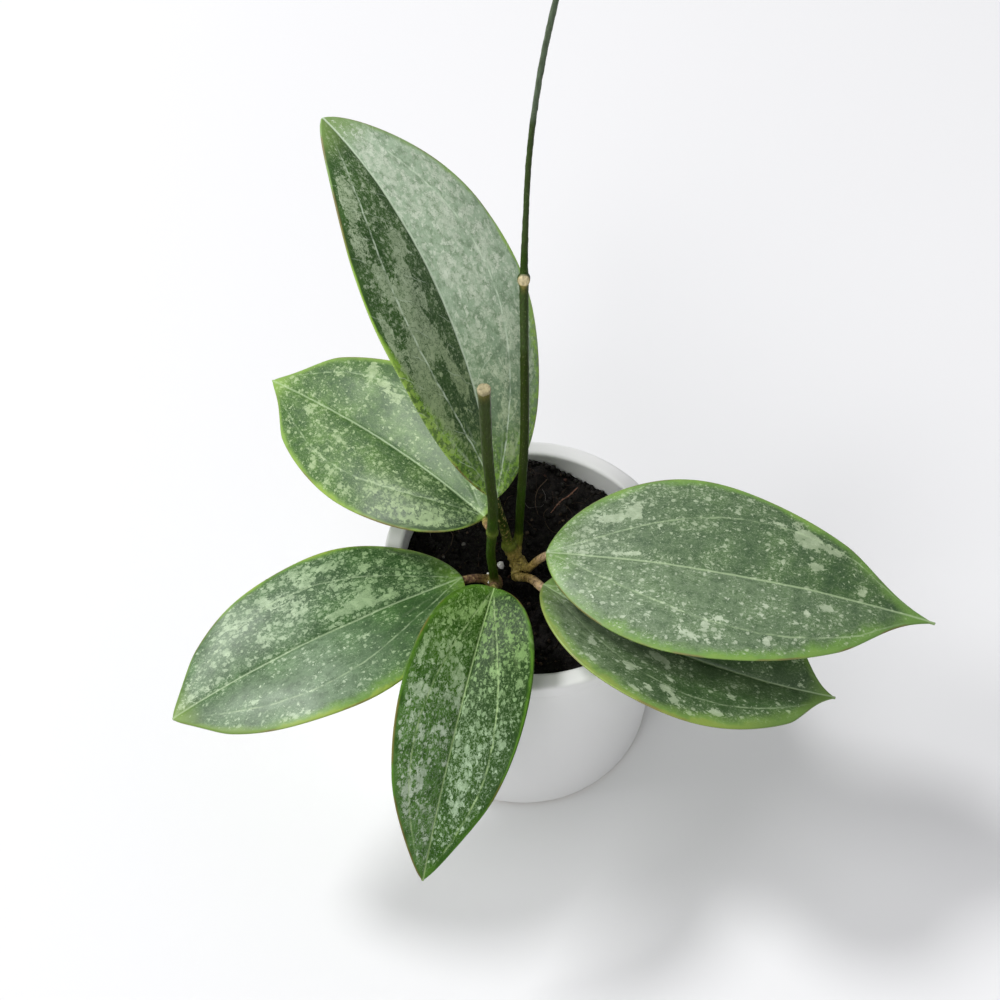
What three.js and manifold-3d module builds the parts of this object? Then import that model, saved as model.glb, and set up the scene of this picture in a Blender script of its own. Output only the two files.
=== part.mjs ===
// Potted Hoya wibergiae: a small glazed pot with soil, two rooted vine cuttings and six leaves.
// Millimetres, +Z up. The pot stands on z = 0 with its axis on Z, and its front is at -Y.

import * as THREE from 'three';
import { mergeVertices } from 'three/addons/utils/BufferGeometryUtils.js';
import Module from 'manifold-3d';

const wasm = await Module();
wasm.setup();

// Pot
const POT_HEIGHT = 85;
const RIM_RADIUS = 45;
const LIP_WIDTH = 5.5;
const LIP_HEIGHT = 5.5;
const LIP_ROUND = 1.5;
const LIP_SHOULDER = 1.5;
const NECK_RADIUS = 43.2;
const NECK_HEIGHT = 5;
const BODY_RADIUS = 43.8;
const FOOT_RADIUS = 43.4;
const FOOT_ROUND = 2.5;
const FLOOR_THICKNESS = 5;
const INNER_FLOOR_RADIUS = 38.8;
const POT_SEGMENTS = 60;

// Soil
const SOIL_LEVEL = 75.8;
const SOIL_SIDES = 40;
const SOIL_RINGS = 7;
const HOLE_SIDES = 16;
const SEAT_GAP = 0.3;

// Stems
const HOLE_DEPTH = 26;
const RIGHT_HOLE = { x: -3.6, y: 0.5, radius: 2 };
const LEFT_HOLE = { x: -11, y: -6.5, radius: 2.1 };
const SHAFT_TOP = 79;
const STEM_SIDES = 10;
const THIN_SIDES = 8;
const STUMP_FLARE = 0.5;
const STUMP_LIP = 0.1;

// Centrelines of the stems above the soil, each station as [x, y, z, radius].
const RIGHT_CROWN = [
  [-3.6, 0.5, 78.2, 1.9], [-3.9, 0.5, 81, 2.5], [-5.6, 1.4, 84.6, 2.2], [-7, 2.3, 88, 2.1],
];
const TALL_VINE = [
  [-4.3, 3, 83, 1.3], [-4.2, 4.4, 89.2, 1.4], [-4.2, 4.2, 98.2, 1.35], [-4.2, 4.3, 112.5, 1.35],
  [-4.1, 6.2, 124.5, 1.35], [-4.2, 10, 133.7, 1.35], [-4.9, 16.5, 148.3, 1.3], [-5.7, 24, 161, 1.25],
  [-6.4, 30.6, 172.4, 1.35], [-6.6, 32.5, 176.8, 1.15], [-6.8, 38.5, 192, 0.85],
  [-6.6, 43.5, 208.5, 0.85], [-4.9, 47.8, 230, 0.85], [-2.2, 50, 249, 0.85], [1.5, 50.5, 268, 0.75],
  [6, 49.5, 284, 0.45],
];
const LEAF_SCAR = [[-6.5, 31.5, 173.5, 1.8], [-6.5, 29.9, 174.4, 1.7]];
const LEFT_CROWN = [[-11, -6.7, 78.2, 2], [-11, -7.5, 81.5, 2.6], [-10.8, -8.6, 84.5, 1.9]];
const CUT_VINE = [
  [-10.8, -8.4, 82.5, 1.5], [-11.4, -9.5, 91.5, 1.4], [-12.3, -10.3, 101.5, 1.4],
  [-12.3, -10.8, 107.5, 1.4], [-12.1, -11.4, 115, 1.6], [-12.2, -12.6, 130, 1.5],
  [-13.2, -13.7, 143.5, 1.5], [-14.2, -14.9, 158, 1.55], [-14.7, -15.8, 169, 1.6],
  [-15.2, -16.8, 181.5, 1.65], [-15.4, -17.1, 186, 1.8],
];

// Swollen nodes, each as [x, y, z, radius, half height].
const RIGHT_KNOBS = [
  [-3.6, 0.2, 81.4, 2.7, 2.3], [-7, 2.3, 88, 2.5, 2], [-6.5, 31.5, 174, 1.85, 1.6],
  [1.5, 50.5, 268, 1.1, 1.3],
];
const LEFT_KNOBS = [[-10.9, -8.2, 83.2, 2.6, 2.2], [-12.1, -11.4, 115, 1.9, 1.8]];

// Blades
const BLADE_THICKNESS = 1.1;
const EDGE_THICKNESS = 0.8;
const BLADE_STATIONS = 20;
const BLADE_COLUMNS = 8;
const MIDRIB_STEPS = 48;
const SMALLEST_HALF_WIDTH = 0.45;
const MARGIN_WAVE = 0.5;
const KEEL_SHARE = 0.16;

// A leaf's base is where its blade meets its petiole. Angles are in degrees: heading is the compass
// direction seen from above, rise is its slope at the base, droop and hook bend it along its length,
// and sway turns it sideways. fold lifts each half from the midrib, and curl rounds it back down.
// bottom and top are the powers of the outline towards the base and towards the tip. narrowing pinches
// the outline past tipStart, and a skew moves a half's widest place towards the tip.
const LEAVES = {
  leaf_back: {
    base: [-11.5, 0.5, 115], heading: 105, rise: 49, droop: -10, hook: -13, sway: 41,
    length: 118.5, left: 25.5, right: 26.5, roll: -22, twist: 21, fold: 17, curl: 19,
    bottom: 0.7, top: 0.7, narrowing: 0.2, tipStart: 0.65, leftSkew: 0.1, rightSkew: 0.05,
    waves: 2.6, phase: 0.4, colour: 0x5c7a5e,
    socket: [-7.2, 2.3, 87.5], joint: [-7.6, 2.3, 90.6], radius: 1.5,
    petiole: [[-9.2, 1.7, 100.5]],
  },
  leaf_left_back: {
    base: [-14.5, -1, 107], heading: 136, rise: 0, droop: -23, hook: 8, sway: 7,
    length: 95, left: 24.5, right: 26.5, roll: 10, twist: 14, fold: 13, curl: 23,
    bottom: 0.55, top: 0.75, narrowing: 0.45, tipStart: 0.8, leftSkew: 0.1, rightSkew: -0.05,
    waves: 2.2, phase: 1.7, colour: 0x64874f,
    socket: [-12.1, -11.4, 115], joint: [-12.9, -9.2, 113.6], radius: 1.1,
    petiole: [[-14, -5.3, 110.3]],
  },
  leaf_left_front: {
    base: [-20.5, -10, 87.5], heading: 208, rise: 3, droop: -18, hook: -8, sway: 1,
    length: 94.5, left: 26.5, right: 27, roll: -5, twist: 5, fold: 14, curl: 22,
    bottom: 0.6, top: 0.75, narrowing: 0.25, tipStart: 0.85, leftSkew: 0.05, rightSkew: 0.05,
    waves: 2.4, phase: 3.1, colour: 0x5a7d50,
    socket: [-11, -7.4, 83], joint: [-13.8, -8.1, 84.6], radius: 1.35,
    petiole: [[-17, -9.1, 86.4]],
  },
  leaf_front: {
    base: [-11, -17.5, 94.5], heading: 257, rise: -3, droop: -60, hook: 13, sway: 0,
    length: 89, left: 19.5, right: 20, roll: 6, twist: 13, fold: 28, curl: 10,
    bottom: 0.5, top: 0.8, narrowing: 0.2, tipStart: 0.65, leftSkew: -0.05, rightSkew: 0.05,
    waves: 2, phase: 5, colour: 0x4f7648,
    socket: [-10.9, -8, 83], joint: [-11, -11.6, 86.4], radius: 1.3,
    petiole: [[-11, -14.8, 91]],
  },
  leaf_right_upper: {
    base: [4, -7, 98.5], heading: -10, rise: 14, droop: -34, hook: 4, sway: 4,
    length: 116, left: 29.5, right: 28.5, roll: -4, twist: -1, fold: 12, curl: 22,
    bottom: 0.65, top: 1.05, narrowing: 0.55, tipStart: 0.75, leftSkew: -0.05, rightSkew: 0.1,
    waves: 2.3, phase: 0.9, colour: 0x587a54,
    socket: [-3.8, 0.2, 81.8], joint: [-1.9, -2.4, 83.3], radius: 1.25,
    petiole: [[0, -4.6, 87.5], [2, -5.8, 93]],
  },
  leaf_right_lower: {
    base: [3.5, -13.5, 91], heading: -33, rise: -2, droop: -5, hook: 0, sway: 28,
    length: 91.5, left: 28.5, right: 26.5, roll: 10, twist: -15, fold: 24, curl: 14,
    bottom: 0.65, top: 0.85, narrowing: 0.65, tipStart: 0.85, leftSkew: 0.05, rightSkew: 0.1,
    waves: 2.1, phase: 2.5, colour: 0x4f7052,
    socket: [-4, 0.3, 80.8], joint: [-4.4, -3.7, 81.6], radius: 1.4,
    petiole: [[-2.3, -6.6, 84.2], [0.6, -9.8, 88]],
  },
};

const degrees = (angle) => angle * Math.PI / 180;
const point = (values) => new THREE.Vector3(...values);

// Solids

function surface(vertices, triangles) {
  const geometry = new THREE.BufferGeometry();
  const positions = vertices.flatMap((vertex) => [vertex.x, vertex.y, vertex.z]);
  geometry.setAttribute('position', new THREE.Float32BufferAttribute(positions, 3));
  geometry.setIndex(triangles.flat());
  return geometry;
}

function toSolid(geometry) {
  return new wasm.Manifold(new wasm.Mesh({
    numProp: 3,
    vertProperties: new Float32Array(geometry.attributes.position.array),
    triVerts: new Uint32Array(geometry.index.array),
  }));
}

function toGeometry(solid) {
  const mesh = solid.getMesh();
  const geometry = new THREE.BufferGeometry();
  geometry.setAttribute('position', new THREE.BufferAttribute(mesh.vertProperties, 3));
  geometry.setIndex(new THREE.BufferAttribute(mesh.triVerts, 1));
  return geometry;
}

function join(geometries) {
  const solids = geometries.map(toSolid);
  return solids.reduce((whole, piece) => whole.add(piece));
}

// A closed skin over a row of rings with equal vertex counts, with a flat cap at each end.
function loft(rings) {
  const sides = rings[0].length;
  const vertices = rings.flat();
  const triangles = [];
  for (let ring = 0; ring + 1 < rings.length; ring++) {
    for (let side = 0; side < sides; side++) {
      const next = (side + 1) % sides;
      const a = ring * sides + side;
      const b = ring * sides + next;
      triangles.push([a, b, b + sides], [a, b + sides, a + sides]);
    }
  }
  const last = (rings.length - 1) * sides;
  for (let side = 1; side + 1 < sides; side++) {
    triangles.push([0, side + 1, side], [last, last + side, last + side + 1]);
  }
  return surface(vertices, triangles);
}

// A round stalk through hand-set stations, each [x, y, z, radius].
function stalk(stations, steps, sides = STEM_SIDES) {
  const centres = stations.map((station) => point(station.slice(0, 3)));
  const curve = new THREE.CatmullRomCurve3(centres, false, 'centripetal');
  const rings = [];
  const across = new THREE.Vector3(1, 0, 0);
  for (let step = 0; step <= steps; step++) {
    const share = step / steps;
    const place = share * (stations.length - 1);
    const before = Math.min(Math.floor(place), stations.length - 2);
    const radius = THREE.MathUtils.lerp(stations[before][3], stations[before + 1][3], place - before);
    const centre = curve.getPoint(share);
    const along = curve.getTangent(share);
    across.addScaledVector(along, -across.dot(along)).normalize();
    const up = along.clone().cross(across);
    const ring = [];
    for (let side = 0; side < sides; side++) {
      const turn = 2 * Math.PI * side / sides;
      ring.push(centre.clone()
        .addScaledVector(across, radius * Math.cos(turn))
        .addScaledVector(up, radius * Math.sin(turn)));
    }
    rings.push(ring);
  }
  return loft(rings);
}

// A swollen node on a stem.
function knob([x, y, z, radius, height]) {
  const ball = new THREE.SphereGeometry(radius, 10, 6);
  ball.scale(1, 1, height / radius);
  ball.translate(x, y, z);
  ball.deleteAttribute('normal');
  ball.deleteAttribute('uv');
  return mergeVertices(ball);
}

// Pot

function potGeometry() {
  const outline = new THREE.Path();
  const lipBottom = POT_HEIGHT - LIP_HEIGHT;
  const innerRim = RIM_RADIUS - LIP_WIDTH;
  outline.moveTo(0, 0);
  outline.lineTo(FOOT_RADIUS - FOOT_ROUND, 0);
  outline.quadraticCurveTo(FOOT_RADIUS, 0, FOOT_RADIUS, FOOT_ROUND);
  outline.lineTo(BODY_RADIUS, lipBottom - NECK_HEIGHT);
  outline.quadraticCurveTo(BODY_RADIUS, lipBottom - NECK_HEIGHT / 2, NECK_RADIUS, lipBottom - 1);
  outline.quadraticCurveTo(RIM_RADIUS, lipBottom - 0.5, RIM_RADIUS, lipBottom + LIP_SHOULDER);
  outline.lineTo(RIM_RADIUS, POT_HEIGHT - LIP_ROUND);
  outline.quadraticCurveTo(RIM_RADIUS, POT_HEIGHT, RIM_RADIUS - LIP_ROUND, POT_HEIGHT);
  outline.lineTo(innerRim + LIP_ROUND, POT_HEIGHT);
  outline.quadraticCurveTo(innerRim, POT_HEIGHT, innerRim, POT_HEIGHT - LIP_ROUND);
  outline.lineTo(INNER_FLOOR_RADIUS, FLOOR_THICKNESS);
  outline.lineTo(0, FLOOR_THICKNESS);
  return new THREE.LatheGeometry(outline.getPoints(3), POT_SEGMENTS).rotateX(Math.PI / 2);
}

// Soil: a plug inside the pot with a lumpy top, and a plain hole for each stem.

function soilHeight(x, y) {
  const lumps = 0.5 * Math.sin(0.33 * x + 1) * Math.cos(0.37 * y) + 0.3 * Math.sin(0.8 * x - 0.6 * y + 2)
    + 0.2 * Math.cos(0.5 * x + 1.1 * y);
  return SOIL_LEVEL + lumps;
}

function soilRadius(z) {
  const innerRim = RIM_RADIUS - LIP_WIDTH;
  const share = (z - FLOOR_THICKNESS) / (POT_HEIGHT - LIP_ROUND - FLOOR_THICKNESS);
  return THREE.MathUtils.lerp(INNER_FLOOR_RADIUS, innerRim, share) - SEAT_GAP;
}

function soilGeometry() {
  const topRadius = soilRadius(SOIL_LEVEL);
  const bottom = FLOOR_THICKNESS + SEAT_GAP;
  const rings = [];
  const addRing = (radius, height) => {
    const ring = [];
    for (let side = 0; side < SOIL_SIDES; side++) {
      const turn = 2 * Math.PI * side / SOIL_SIDES;
      const x = radius * Math.cos(turn);
      const y = radius * Math.sin(turn);
      ring.push(new THREE.Vector3(x, y, height ?? soilHeight(x, y)));
    }
    rings.push(ring);
  };
  addRing(soilRadius(bottom), bottom);
  for (let ring = SOIL_RINGS; ring >= 1; ring--) {
    addRing(topRadius * ring / SOIL_RINGS);
  }
  const soil = toSolid(loft(rings));
  return toGeometry([RIGHT_HOLE, LEFT_HOLE].reduce((rest, hole) => {
    const reach = 1.5 * HOLE_DEPTH;
    const radius = hole.radius + SEAT_GAP;
    const drill = new THREE.CylinderGeometry(radius, radius, reach, HOLE_SIDES);
    drill.rotateX(Math.PI / 2);
    drill.translate(hole.x, hole.y, SOIL_LEVEL - HOLE_DEPTH - SEAT_GAP + reach / 2);
    drill.deleteAttribute('normal');
    drill.deleteAttribute('uv');
    return rest.subtract(toSolid(mergeVertices(drill)));
  }, soil));
}

// Stems

// The straight length of a stem that stands in its hole.
function shaft({ x, y, radius }) {
  return stalk([[x, y, SOIL_LEVEL - HOLE_DEPTH, radius], [x, y, SHAFT_TOP, radius]], 1);
}

// The stump on a stem that carries one leaf's petiole.
function stump(leaf) {
  return stalk([
    [...leaf.socket, leaf.radius + STUMP_FLARE],
    [...leaf.joint, leaf.radius + STUMP_LIP],
  ], 3);
}

// The right cutting: a knobby crown with three leaves, and a tall vine with one bare node.
function rightStemGeometry() {
  return toGeometry(join([
    shaft(RIGHT_HOLE),
    stalk(RIGHT_CROWN, 9),
    stalk(TALL_VINE, 45, THIN_SIDES),
    stalk(LEAF_SCAR, 2),
    ...RIGHT_KNOBS.map(knob),
    ...[LEAVES.leaf_back, LEAVES.leaf_right_upper, LEAVES.leaf_right_lower].map(stump),
  ]));
}

// The left cutting: a small crown with two leaves, and a vine cut short above a node with one leaf.
function leftStemGeometry() {
  return toGeometry(join([
    shaft(LEFT_HOLE),
    stalk(LEFT_CROWN, 6),
    stalk(CUT_VINE, 30, THIN_SIDES),
    ...LEFT_KNOBS.map(knob),
    ...[LEAVES.leaf_left_front, LEAVES.leaf_front, LEAVES.leaf_left_back].map(stump),
  ]));
}

// Leaves

// Half the blade's width at a share of its length, as a share of its widest.
function outlineShare(leaf, share, side) {
  const near = THREE.MathUtils.clamp((share - leaf.tipStart) / (1 - leaf.tipStart), 0, 1);
  const pinch = 1 - leaf.narrowing * near * near * (3 - 2 * near);
  const widest = leaf.bottom / (leaf.bottom + leaf.top);
  const shape = (s) => s ** leaf.bottom * (1 - s) ** leaf.top;
  const skew = 1 + (side < 0 ? leaf.leftSkew : leaf.rightSkew) * (share - 0.5);
  return shape(share) * pinch * skew / shape(widest);
}

// The direction of the midrib at a share of its length.
function midribDirection(leaf, share) {
  const slope = degrees(leaf.rise + leaf.droop * share + leaf.hook * share ** 3);
  const compass = degrees(leaf.heading + leaf.sway * share);
  const level = Math.cos(slope);
  return new THREE.Vector3(level * Math.cos(compass), level * Math.sin(compass), Math.sin(slope));
}

// Where the midrib is, and which way is forward, right and up on the blade there.
function midribFrame(leaf, share) {
  const place = point(leaf.base);
  const steps = Math.max(1, Math.round(MIDRIB_STEPS * share));
  for (let step = 0; step < steps; step++) {
    place.addScaledVector(midribDirection(leaf, share * (step + 0.5) / steps), leaf.length * share / steps);
  }
  const forward = midribDirection(leaf, share);
  const compass = degrees(leaf.heading + leaf.sway * share);
  const level = new THREE.Vector3(Math.sin(compass), -Math.cos(compass), 0);
  const lift = level.clone().cross(forward);
  const roll = degrees(leaf.roll + leaf.twist * share);
  const right = level.clone().multiplyScalar(Math.cos(roll)).addScaledVector(lift, Math.sin(roll));
  const up = lift.clone().multiplyScalar(Math.cos(roll)).addScaledVector(level, -Math.sin(roll));
  return { place, forward, right, up };
}

// A point of the blade's middle layer, and the direction out of it. side runs from -1 to 1.
function bladePoint(leaf, share, frame, side) {
  const reach = Math.abs(side);
  const widest = side < 0 ? leaf.left : leaf.right;
  const outline = outlineShare(leaf, share, side);
  const halfWidth = Math.max(widest * outline, SMALLEST_HALF_WIDTH);
  const fold = degrees(leaf.fold);
  const curl = degrees(leaf.curl);
  const lean = fold - curl * reach;
  const out = Math.sign(side) * halfWidth * (Math.sin(fold) - Math.sin(lean)) / curl;
  const wave = MARGIN_WAVE * reach ** 3 * outline
    * Math.sin(2 * Math.PI * leaf.waves * share + leaf.phase + (side < 0 ? 2 : 0));
  const raised = halfWidth * (Math.cos(lean) - Math.cos(fold)) / curl + wave;
  const place = frame.place.clone().addScaledVector(frame.right, out).addScaledVector(frame.up, raised);
  const normal = frame.up.clone().multiplyScalar(Math.cos(lean))
    .addScaledVector(frame.right, -Math.sign(side) * Math.sin(lean));
  return { place, normal };
}

function bladeGeometry(leaf) {
  const columns = BLADE_COLUMNS + 1;
  const layer = columns * (BLADE_STATIONS + 1);
  const upper = [];
  const lower = [];
  for (let station = 0; station <= BLADE_STATIONS; station++) {
    const share = (1 - Math.cos(Math.PI * station / BLADE_STATIONS)) / 2;
    const frame = midribFrame(leaf, share);
    for (let column = 0; column < columns; column++) {
      const side = 2 * column / BLADE_COLUMNS - 1;
      const { place, normal } = bladePoint(leaf, share, frame, side);
      const half = THREE.MathUtils.lerp(BLADE_THICKNESS, EDGE_THICKNESS, side * side) / 2;
      upper.push(place.clone().addScaledVector(normal, half));
      lower.push(place.clone().addScaledVector(normal, -half));
    }
  }
  const triangles = [];
  const wall = (a, b) => triangles.push([a + layer, b + layer, b], [a + layer, b, a]);
  for (let station = 0; station < BLADE_STATIONS; station++) {
    const row = station * columns;
    for (let column = 0; column < BLADE_COLUMNS; column++) {
      const a = row + column;
      const b = a + 1;
      const c = b + columns;
      const d = a + columns;
      triangles.push([a, b, c], [a, c, d]);
      triangles.push([a + layer, c + layer, b + layer], [a + layer, d + layer, c + layer]);
    }
    wall(row + columns, row);
    wall(row + BLADE_COLUMNS, row + columns + BLADE_COLUMNS);
  }
  const tip = BLADE_STATIONS * columns;
  for (let column = 0; column < BLADE_COLUMNS; column++) {
    wall(column, column + 1);
    wall(tip + column + 1, tip + column);
  }
  return surface([...upper, ...lower], triangles);
}

// The petiole starts just off its stump and runs on under the blade as a short keel.
function petioleGeometry(leaf) {
  const root = point(leaf.joint);
  const direction = root.clone().sub(point(leaf.socket)).normalize();
  const start = root.addScaledVector(direction, SEAT_GAP);
  const second = start.clone().addScaledVector(direction, 1);
  const under = (share, depth) => {
    const { place, up } = midribFrame(leaf, share);
    return place.addScaledVector(up, -depth).toArray();
  };
  const depth = BLADE_THICKNESS / 2;
  return stalk([
    [...start.toArray(), leaf.radius], [...second.toArray(), leaf.radius],
    ...leaf.petiole.map((place) => [...place, leaf.radius * 0.95]),
    [...under(0.005, depth), leaf.radius],
    [...under(KEEL_SHARE / 3, depth), leaf.radius * 0.65],
    [...under(KEEL_SHARE, depth * 0.7), leaf.radius * 0.25],
  ], 14, THIN_SIDES);
}

function leafGeometry(leaf) {
  return toGeometry(join([bladeGeometry(leaf), petioleGeometry(leaf)]));
}

// The plant

function piece(name, geometry, colour, roughness) {
  const material = new THREE.MeshStandardMaterial({ color: colour, roughness, metalness: 0 });
  const mesh = new THREE.Mesh(geometry, material);
  mesh.name = name;
  return mesh;
}

const plant = new THREE.Group();
plant.add(piece('pot', potGeometry(), 0xf2f2f0, 0.15));
plant.add(piece('soil', soilGeometry(), 0x211a16, 0.95));
plant.add(piece('stem_right', rightStemGeometry(), 0x5d6b34, 0.5));
plant.add(piece('stem_left', leftStemGeometry(), 0x5a5a34, 0.5));
for (const [name, leaf] of Object.entries(LEAVES)) {
  plant.add(piece(name, leafGeometry(leaf), leaf.colour, 0.35));
}

export default plant;
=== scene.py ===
"""Potted Hoya wibergiae: the looks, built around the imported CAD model.

Metres, +Z up, in the model's frame. The tables below are in millimetres and degrees.
"""

import math
import random

import bpy
import numpy as np
from mathutils import Matrix, Vector, kdtree, noise


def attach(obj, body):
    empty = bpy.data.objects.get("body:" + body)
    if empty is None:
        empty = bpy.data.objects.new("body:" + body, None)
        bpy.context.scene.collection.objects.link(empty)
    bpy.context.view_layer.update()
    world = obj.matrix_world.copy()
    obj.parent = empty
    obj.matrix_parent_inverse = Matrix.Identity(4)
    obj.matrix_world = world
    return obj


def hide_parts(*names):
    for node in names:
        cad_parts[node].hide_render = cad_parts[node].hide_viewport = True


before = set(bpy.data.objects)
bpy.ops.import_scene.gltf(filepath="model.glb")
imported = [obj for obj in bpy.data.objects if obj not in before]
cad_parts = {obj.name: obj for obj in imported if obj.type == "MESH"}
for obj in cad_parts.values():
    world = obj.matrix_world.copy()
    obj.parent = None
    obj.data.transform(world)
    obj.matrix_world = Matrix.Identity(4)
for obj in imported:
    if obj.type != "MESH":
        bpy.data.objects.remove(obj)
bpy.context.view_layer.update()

MM = 0.001

# Camera: it looks down on the pot from the front.
CAMERA_PITCH = math.radians(54.9)
CAMERA_ROLL = math.radians(2.5)
CAMERA_DISTANCE = 572.9
CAMERA_AIM = Vector((-10.3, 80.7, 0))
CAMERA_LENS = 54
CAMERA_SENSOR = 36
CAMERA_NEAREST = 10

# Light: a softbox from behind on the left, one on the left, a weak front panel, and a grey studio.
# Each lamp is (compass, height, distance, size, power), in degrees, millimetres and watts.
LAMPS = {
    "softbox": (153, 52, 3500, 720, 64),
    "side_box": (185, 44, 3500, 1200, 38),
    "front_panel": (240, 38, 3000, 1500, 24),
}
STUDIO_FRONT = (0.37, 0.37, 0.38, 1)
STUDIO_BACK = (0.43, 0.43, 0.44, 1)
STUDIO_BLEND = (-0.8, 0.6)
FLOOR_RADIUS = 2500
FLOOR_SIDES = 96
FLOOR_TONES = ((0.795, 0.795, 0.805, 1), (0.81, 0.81, 0.82, 1))

# Pot
POT_HEIGHT = 85
RIM_RADIUS = 45
LIP_WIDTH = 5.5
LIP_HEIGHT = 5.5
LIP_ROUND = 1.5
LIP_SHOULDER = 1.5
NECK_RADIUS = 43.2
NECK_HEIGHT = 5
BODY_RADIUS = 43.8
FOOT_RADIUS = 43.4
FOOT_ROUND = 2.5
FLOOR_THICKNESS = 5
INNER_FLOOR_RADIUS = 38.8
POT_SEGMENTS = 180
GLAZE_TONES = ((0.8, 0.8, 0.795, 1), (0.83, 0.83, 0.825, 1))

# Soil
SOIL_LEVEL = 75.8
SOIL_SIDES = 220
SOIL_RINGS = 84
WALL_GAP = 0.05
SEAT_GAP = 0.3
BACK_MOUND = 6

# Litter. Sizes are (least, most), and tints are given with how common they are.
CRUMBS = 820
CRUMB_RADII = (0.35, 1.1)
CRUMB_TINTS = {"peat": 70, "bark": 20, "rust": 4, "straw": 4, "ash": 2}
CRUMB_ROUGHNESS = 0.45
CRUMB_SPREAD = 0.42
BARK_BIT_SHARE = 0.6
WALL_CRUMBS = 150
WALL_CRUMB_RADII = (0.5, 1.15)
FIBRES = 130
FIBRE_RADIUS = 0.1
FIBRE_STEP = 2
FIBRE_SPREAD = 0.45
FIBRE_TINTS = {"peat": 30, "bark": 34, "straw": 12, "root": 20, "ash": 4}
CLEAN_SHARE = 0.15
LITTER_DIRT = (0.004, 0.003, 0.002, 1)

# Fibres that stand out, as (x, y, height above the soil, radius), and bits as (centre, radius, tint).
SEEN_FIBRES = [
    ([(14.4, 31.5, 2.4, 0.2), (11.5, 28, 2.2, 0.24), (9.2, 26.5, 1.4, 0.22), (6, 22.5, 1, 0.16)], "pinkish"),
    ([(4.5, 33, 1.2, 0.12), (1.5, 29, 1.8, 0.12), (1, 25, 1.4, 0.12), (2, 21.5, 0.8, 0.1)], "straw"),
    ([(-25, 8, 0.8, 0.14), (-24.5, 11.5, 1.4, 0.14), (-25.5, 15, 0.8, 0.12)], "straw"),
    ([(16, 22, 1.4, 0.14), (12, 20, 1.8, 0.14), (9, 16.5, 0.8, 0.12)], "bark"),
]
SEEN_BITS = [
    ((-9.2, 1.3, 78), 1.1, "milk"), ((-12.4, -9.2, 84.8), 0.6, "milk"), ((-12.9, -6.4, 85), 0.45, "milk"),
    ((-21, 9, 77.2), 0.7, "ash"), ((-31, 14, 77), 0.8, "rust"), ((-6.5, -2.4, 77.4), 0.5, "rust"),
    ((12, -6, 77), 0.6, "ash"), ((8, -20, 77), 0.5, "straw"), ((-27, 4, 77), 0.5, "ash"),
]

# Stems: each hole is (x, y, radius), each station [x, y, z, radius, tint], each knob
# [x, y, z, radius, half height, tint].
HOLE_DEPTH = 26
SHAFT_TOP = 79
RIGHT_HOLE = (-3.6, 0.5, 2)
LEFT_HOLE = (-11, -6.5, 2.1)
STUMP_FLARE = 0.5
STUMP_LIP = 0.1
STEM_VOXEL = 0.3
WOODY_TINT_SPAN = (SOIL_LEVEL + 6, SOIL_LEVEL + 15)
WOODY_RELIEF_SPAN = (SOIL_LEVEL + 4, SOIL_LEVEL + 13)
WOODY_RELIEF = 0.6
RIDGE_RELIEF = 0.1
SKIN_SHRINK = 0.03
BARK_STREAK = (0.02, 0.022, 0.008, 1)
BARK_FRECKLE = (0.34, 0.36, 0.16, 1)

RIGHT_CROWN = [
    [-3.6, 0.5, 78.2, 1.9, "bark"], [-3.9, 0.5, 81, 2.5, "husk"], [-5.6, 1.4, 84.6, 2.2, "husk"],
    [-7, 2.3, 88, 2.1, "olive"],
]
TALL_VINE = [
    [-4.3, 3, 83, 1.3, "husk"], [-4.2, 4.4, 89.2, 1.4, "olive"], [-4.2, 4.2, 98.2, 1.35, "green"],
    [-4.2, 4.3, 112.5, 1.35, "green"], [-4.1, 6.2, 124.5, 1.35, "vine"],
    [-4.2, 10, 133.7, 1.35, "vine"], [-4.9, 16.5, 148.3, 1.3, "vine"], [-5.7, 24, 161, 1.25, "dark"],
    [-6.4, 30.6, 172.4, 1.35, "dark"], [-6.6, 32.5, 176.8, 1.15, "green"],
    [-6.8, 38.5, 192, 0.85, "dark"], [-6.6, 43.5, 208.5, 0.85, "dark"],
    [-4.9, 47.8, 230, 0.85, "slate"], [-2.2, 50, 249, 0.85, "slate"],
    [1.5, 50.5, 268, 0.75, "slate"], [6, 49.5, 284, 0.45, "vine"],
]
LEAF_SCAR = [[-6.5, 31.5, 173.5, 1.8, "dark"], [-6.5, 29.9, 174.4, 1.7, "husk"]]
SCAR_TINTS = [((-6.5, 29.6, 174.6), "cream"), ((-6.5, 29.9, 174.5), "cream")]
LEFT_CROWN = [
    [-11, -6.7, 78.2, 2, "bark"], [-11, -7.5, 81.5, 2.6, "mauve"], [-10.8, -8.6, 84.5, 1.9, "mauve"],
]
CUT_VINE = [
    [-10.8, -8.4, 82.5, 1.5, "olive"], [-11.4, -9.5, 91.5, 1.4, "green"],
    [-12.3, -10.3, 101.5, 1.4, "green"], [-12.3, -10.8, 107.5, 1.4, "green"],
    [-12.1, -11.4, 115, 1.6, "green"], [-12.2, -12.6, 130, 1.5, "vine"],
    [-13.2, -13.7, 143.5, 1.5, "vine"], [-14.2, -14.9, 158, 1.55, "reed"],
    [-14.7, -15.8, 169, 1.6, "reed"], [-15.2, -16.8, 181.5, 1.65, "reed"],
    [-15.4, -17.1, 186, 1.8, "cane"],
]
CUT_TINTS = [((-15.4, -17.1, 186.2), "cream")]
RIGHT_KNOBS = [
    [-3.6, 0.2, 81.4, 2.7, 2.3, "husk"], [-7, 2.3, 88, 2.5, 2, "olive"],
    [-6.5, 31.5, 174, 1.85, 1.6, "dark"], [1.5, 50.5, 268, 1.1, 1.3, "slate"],
]
LEFT_KNOBS = [[-10.9, -8.2, 83.2, 2.6, 2.2, "mauve"], [-12.1, -11.4, 115, 1.9, 1.8, "olive"]]

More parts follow.
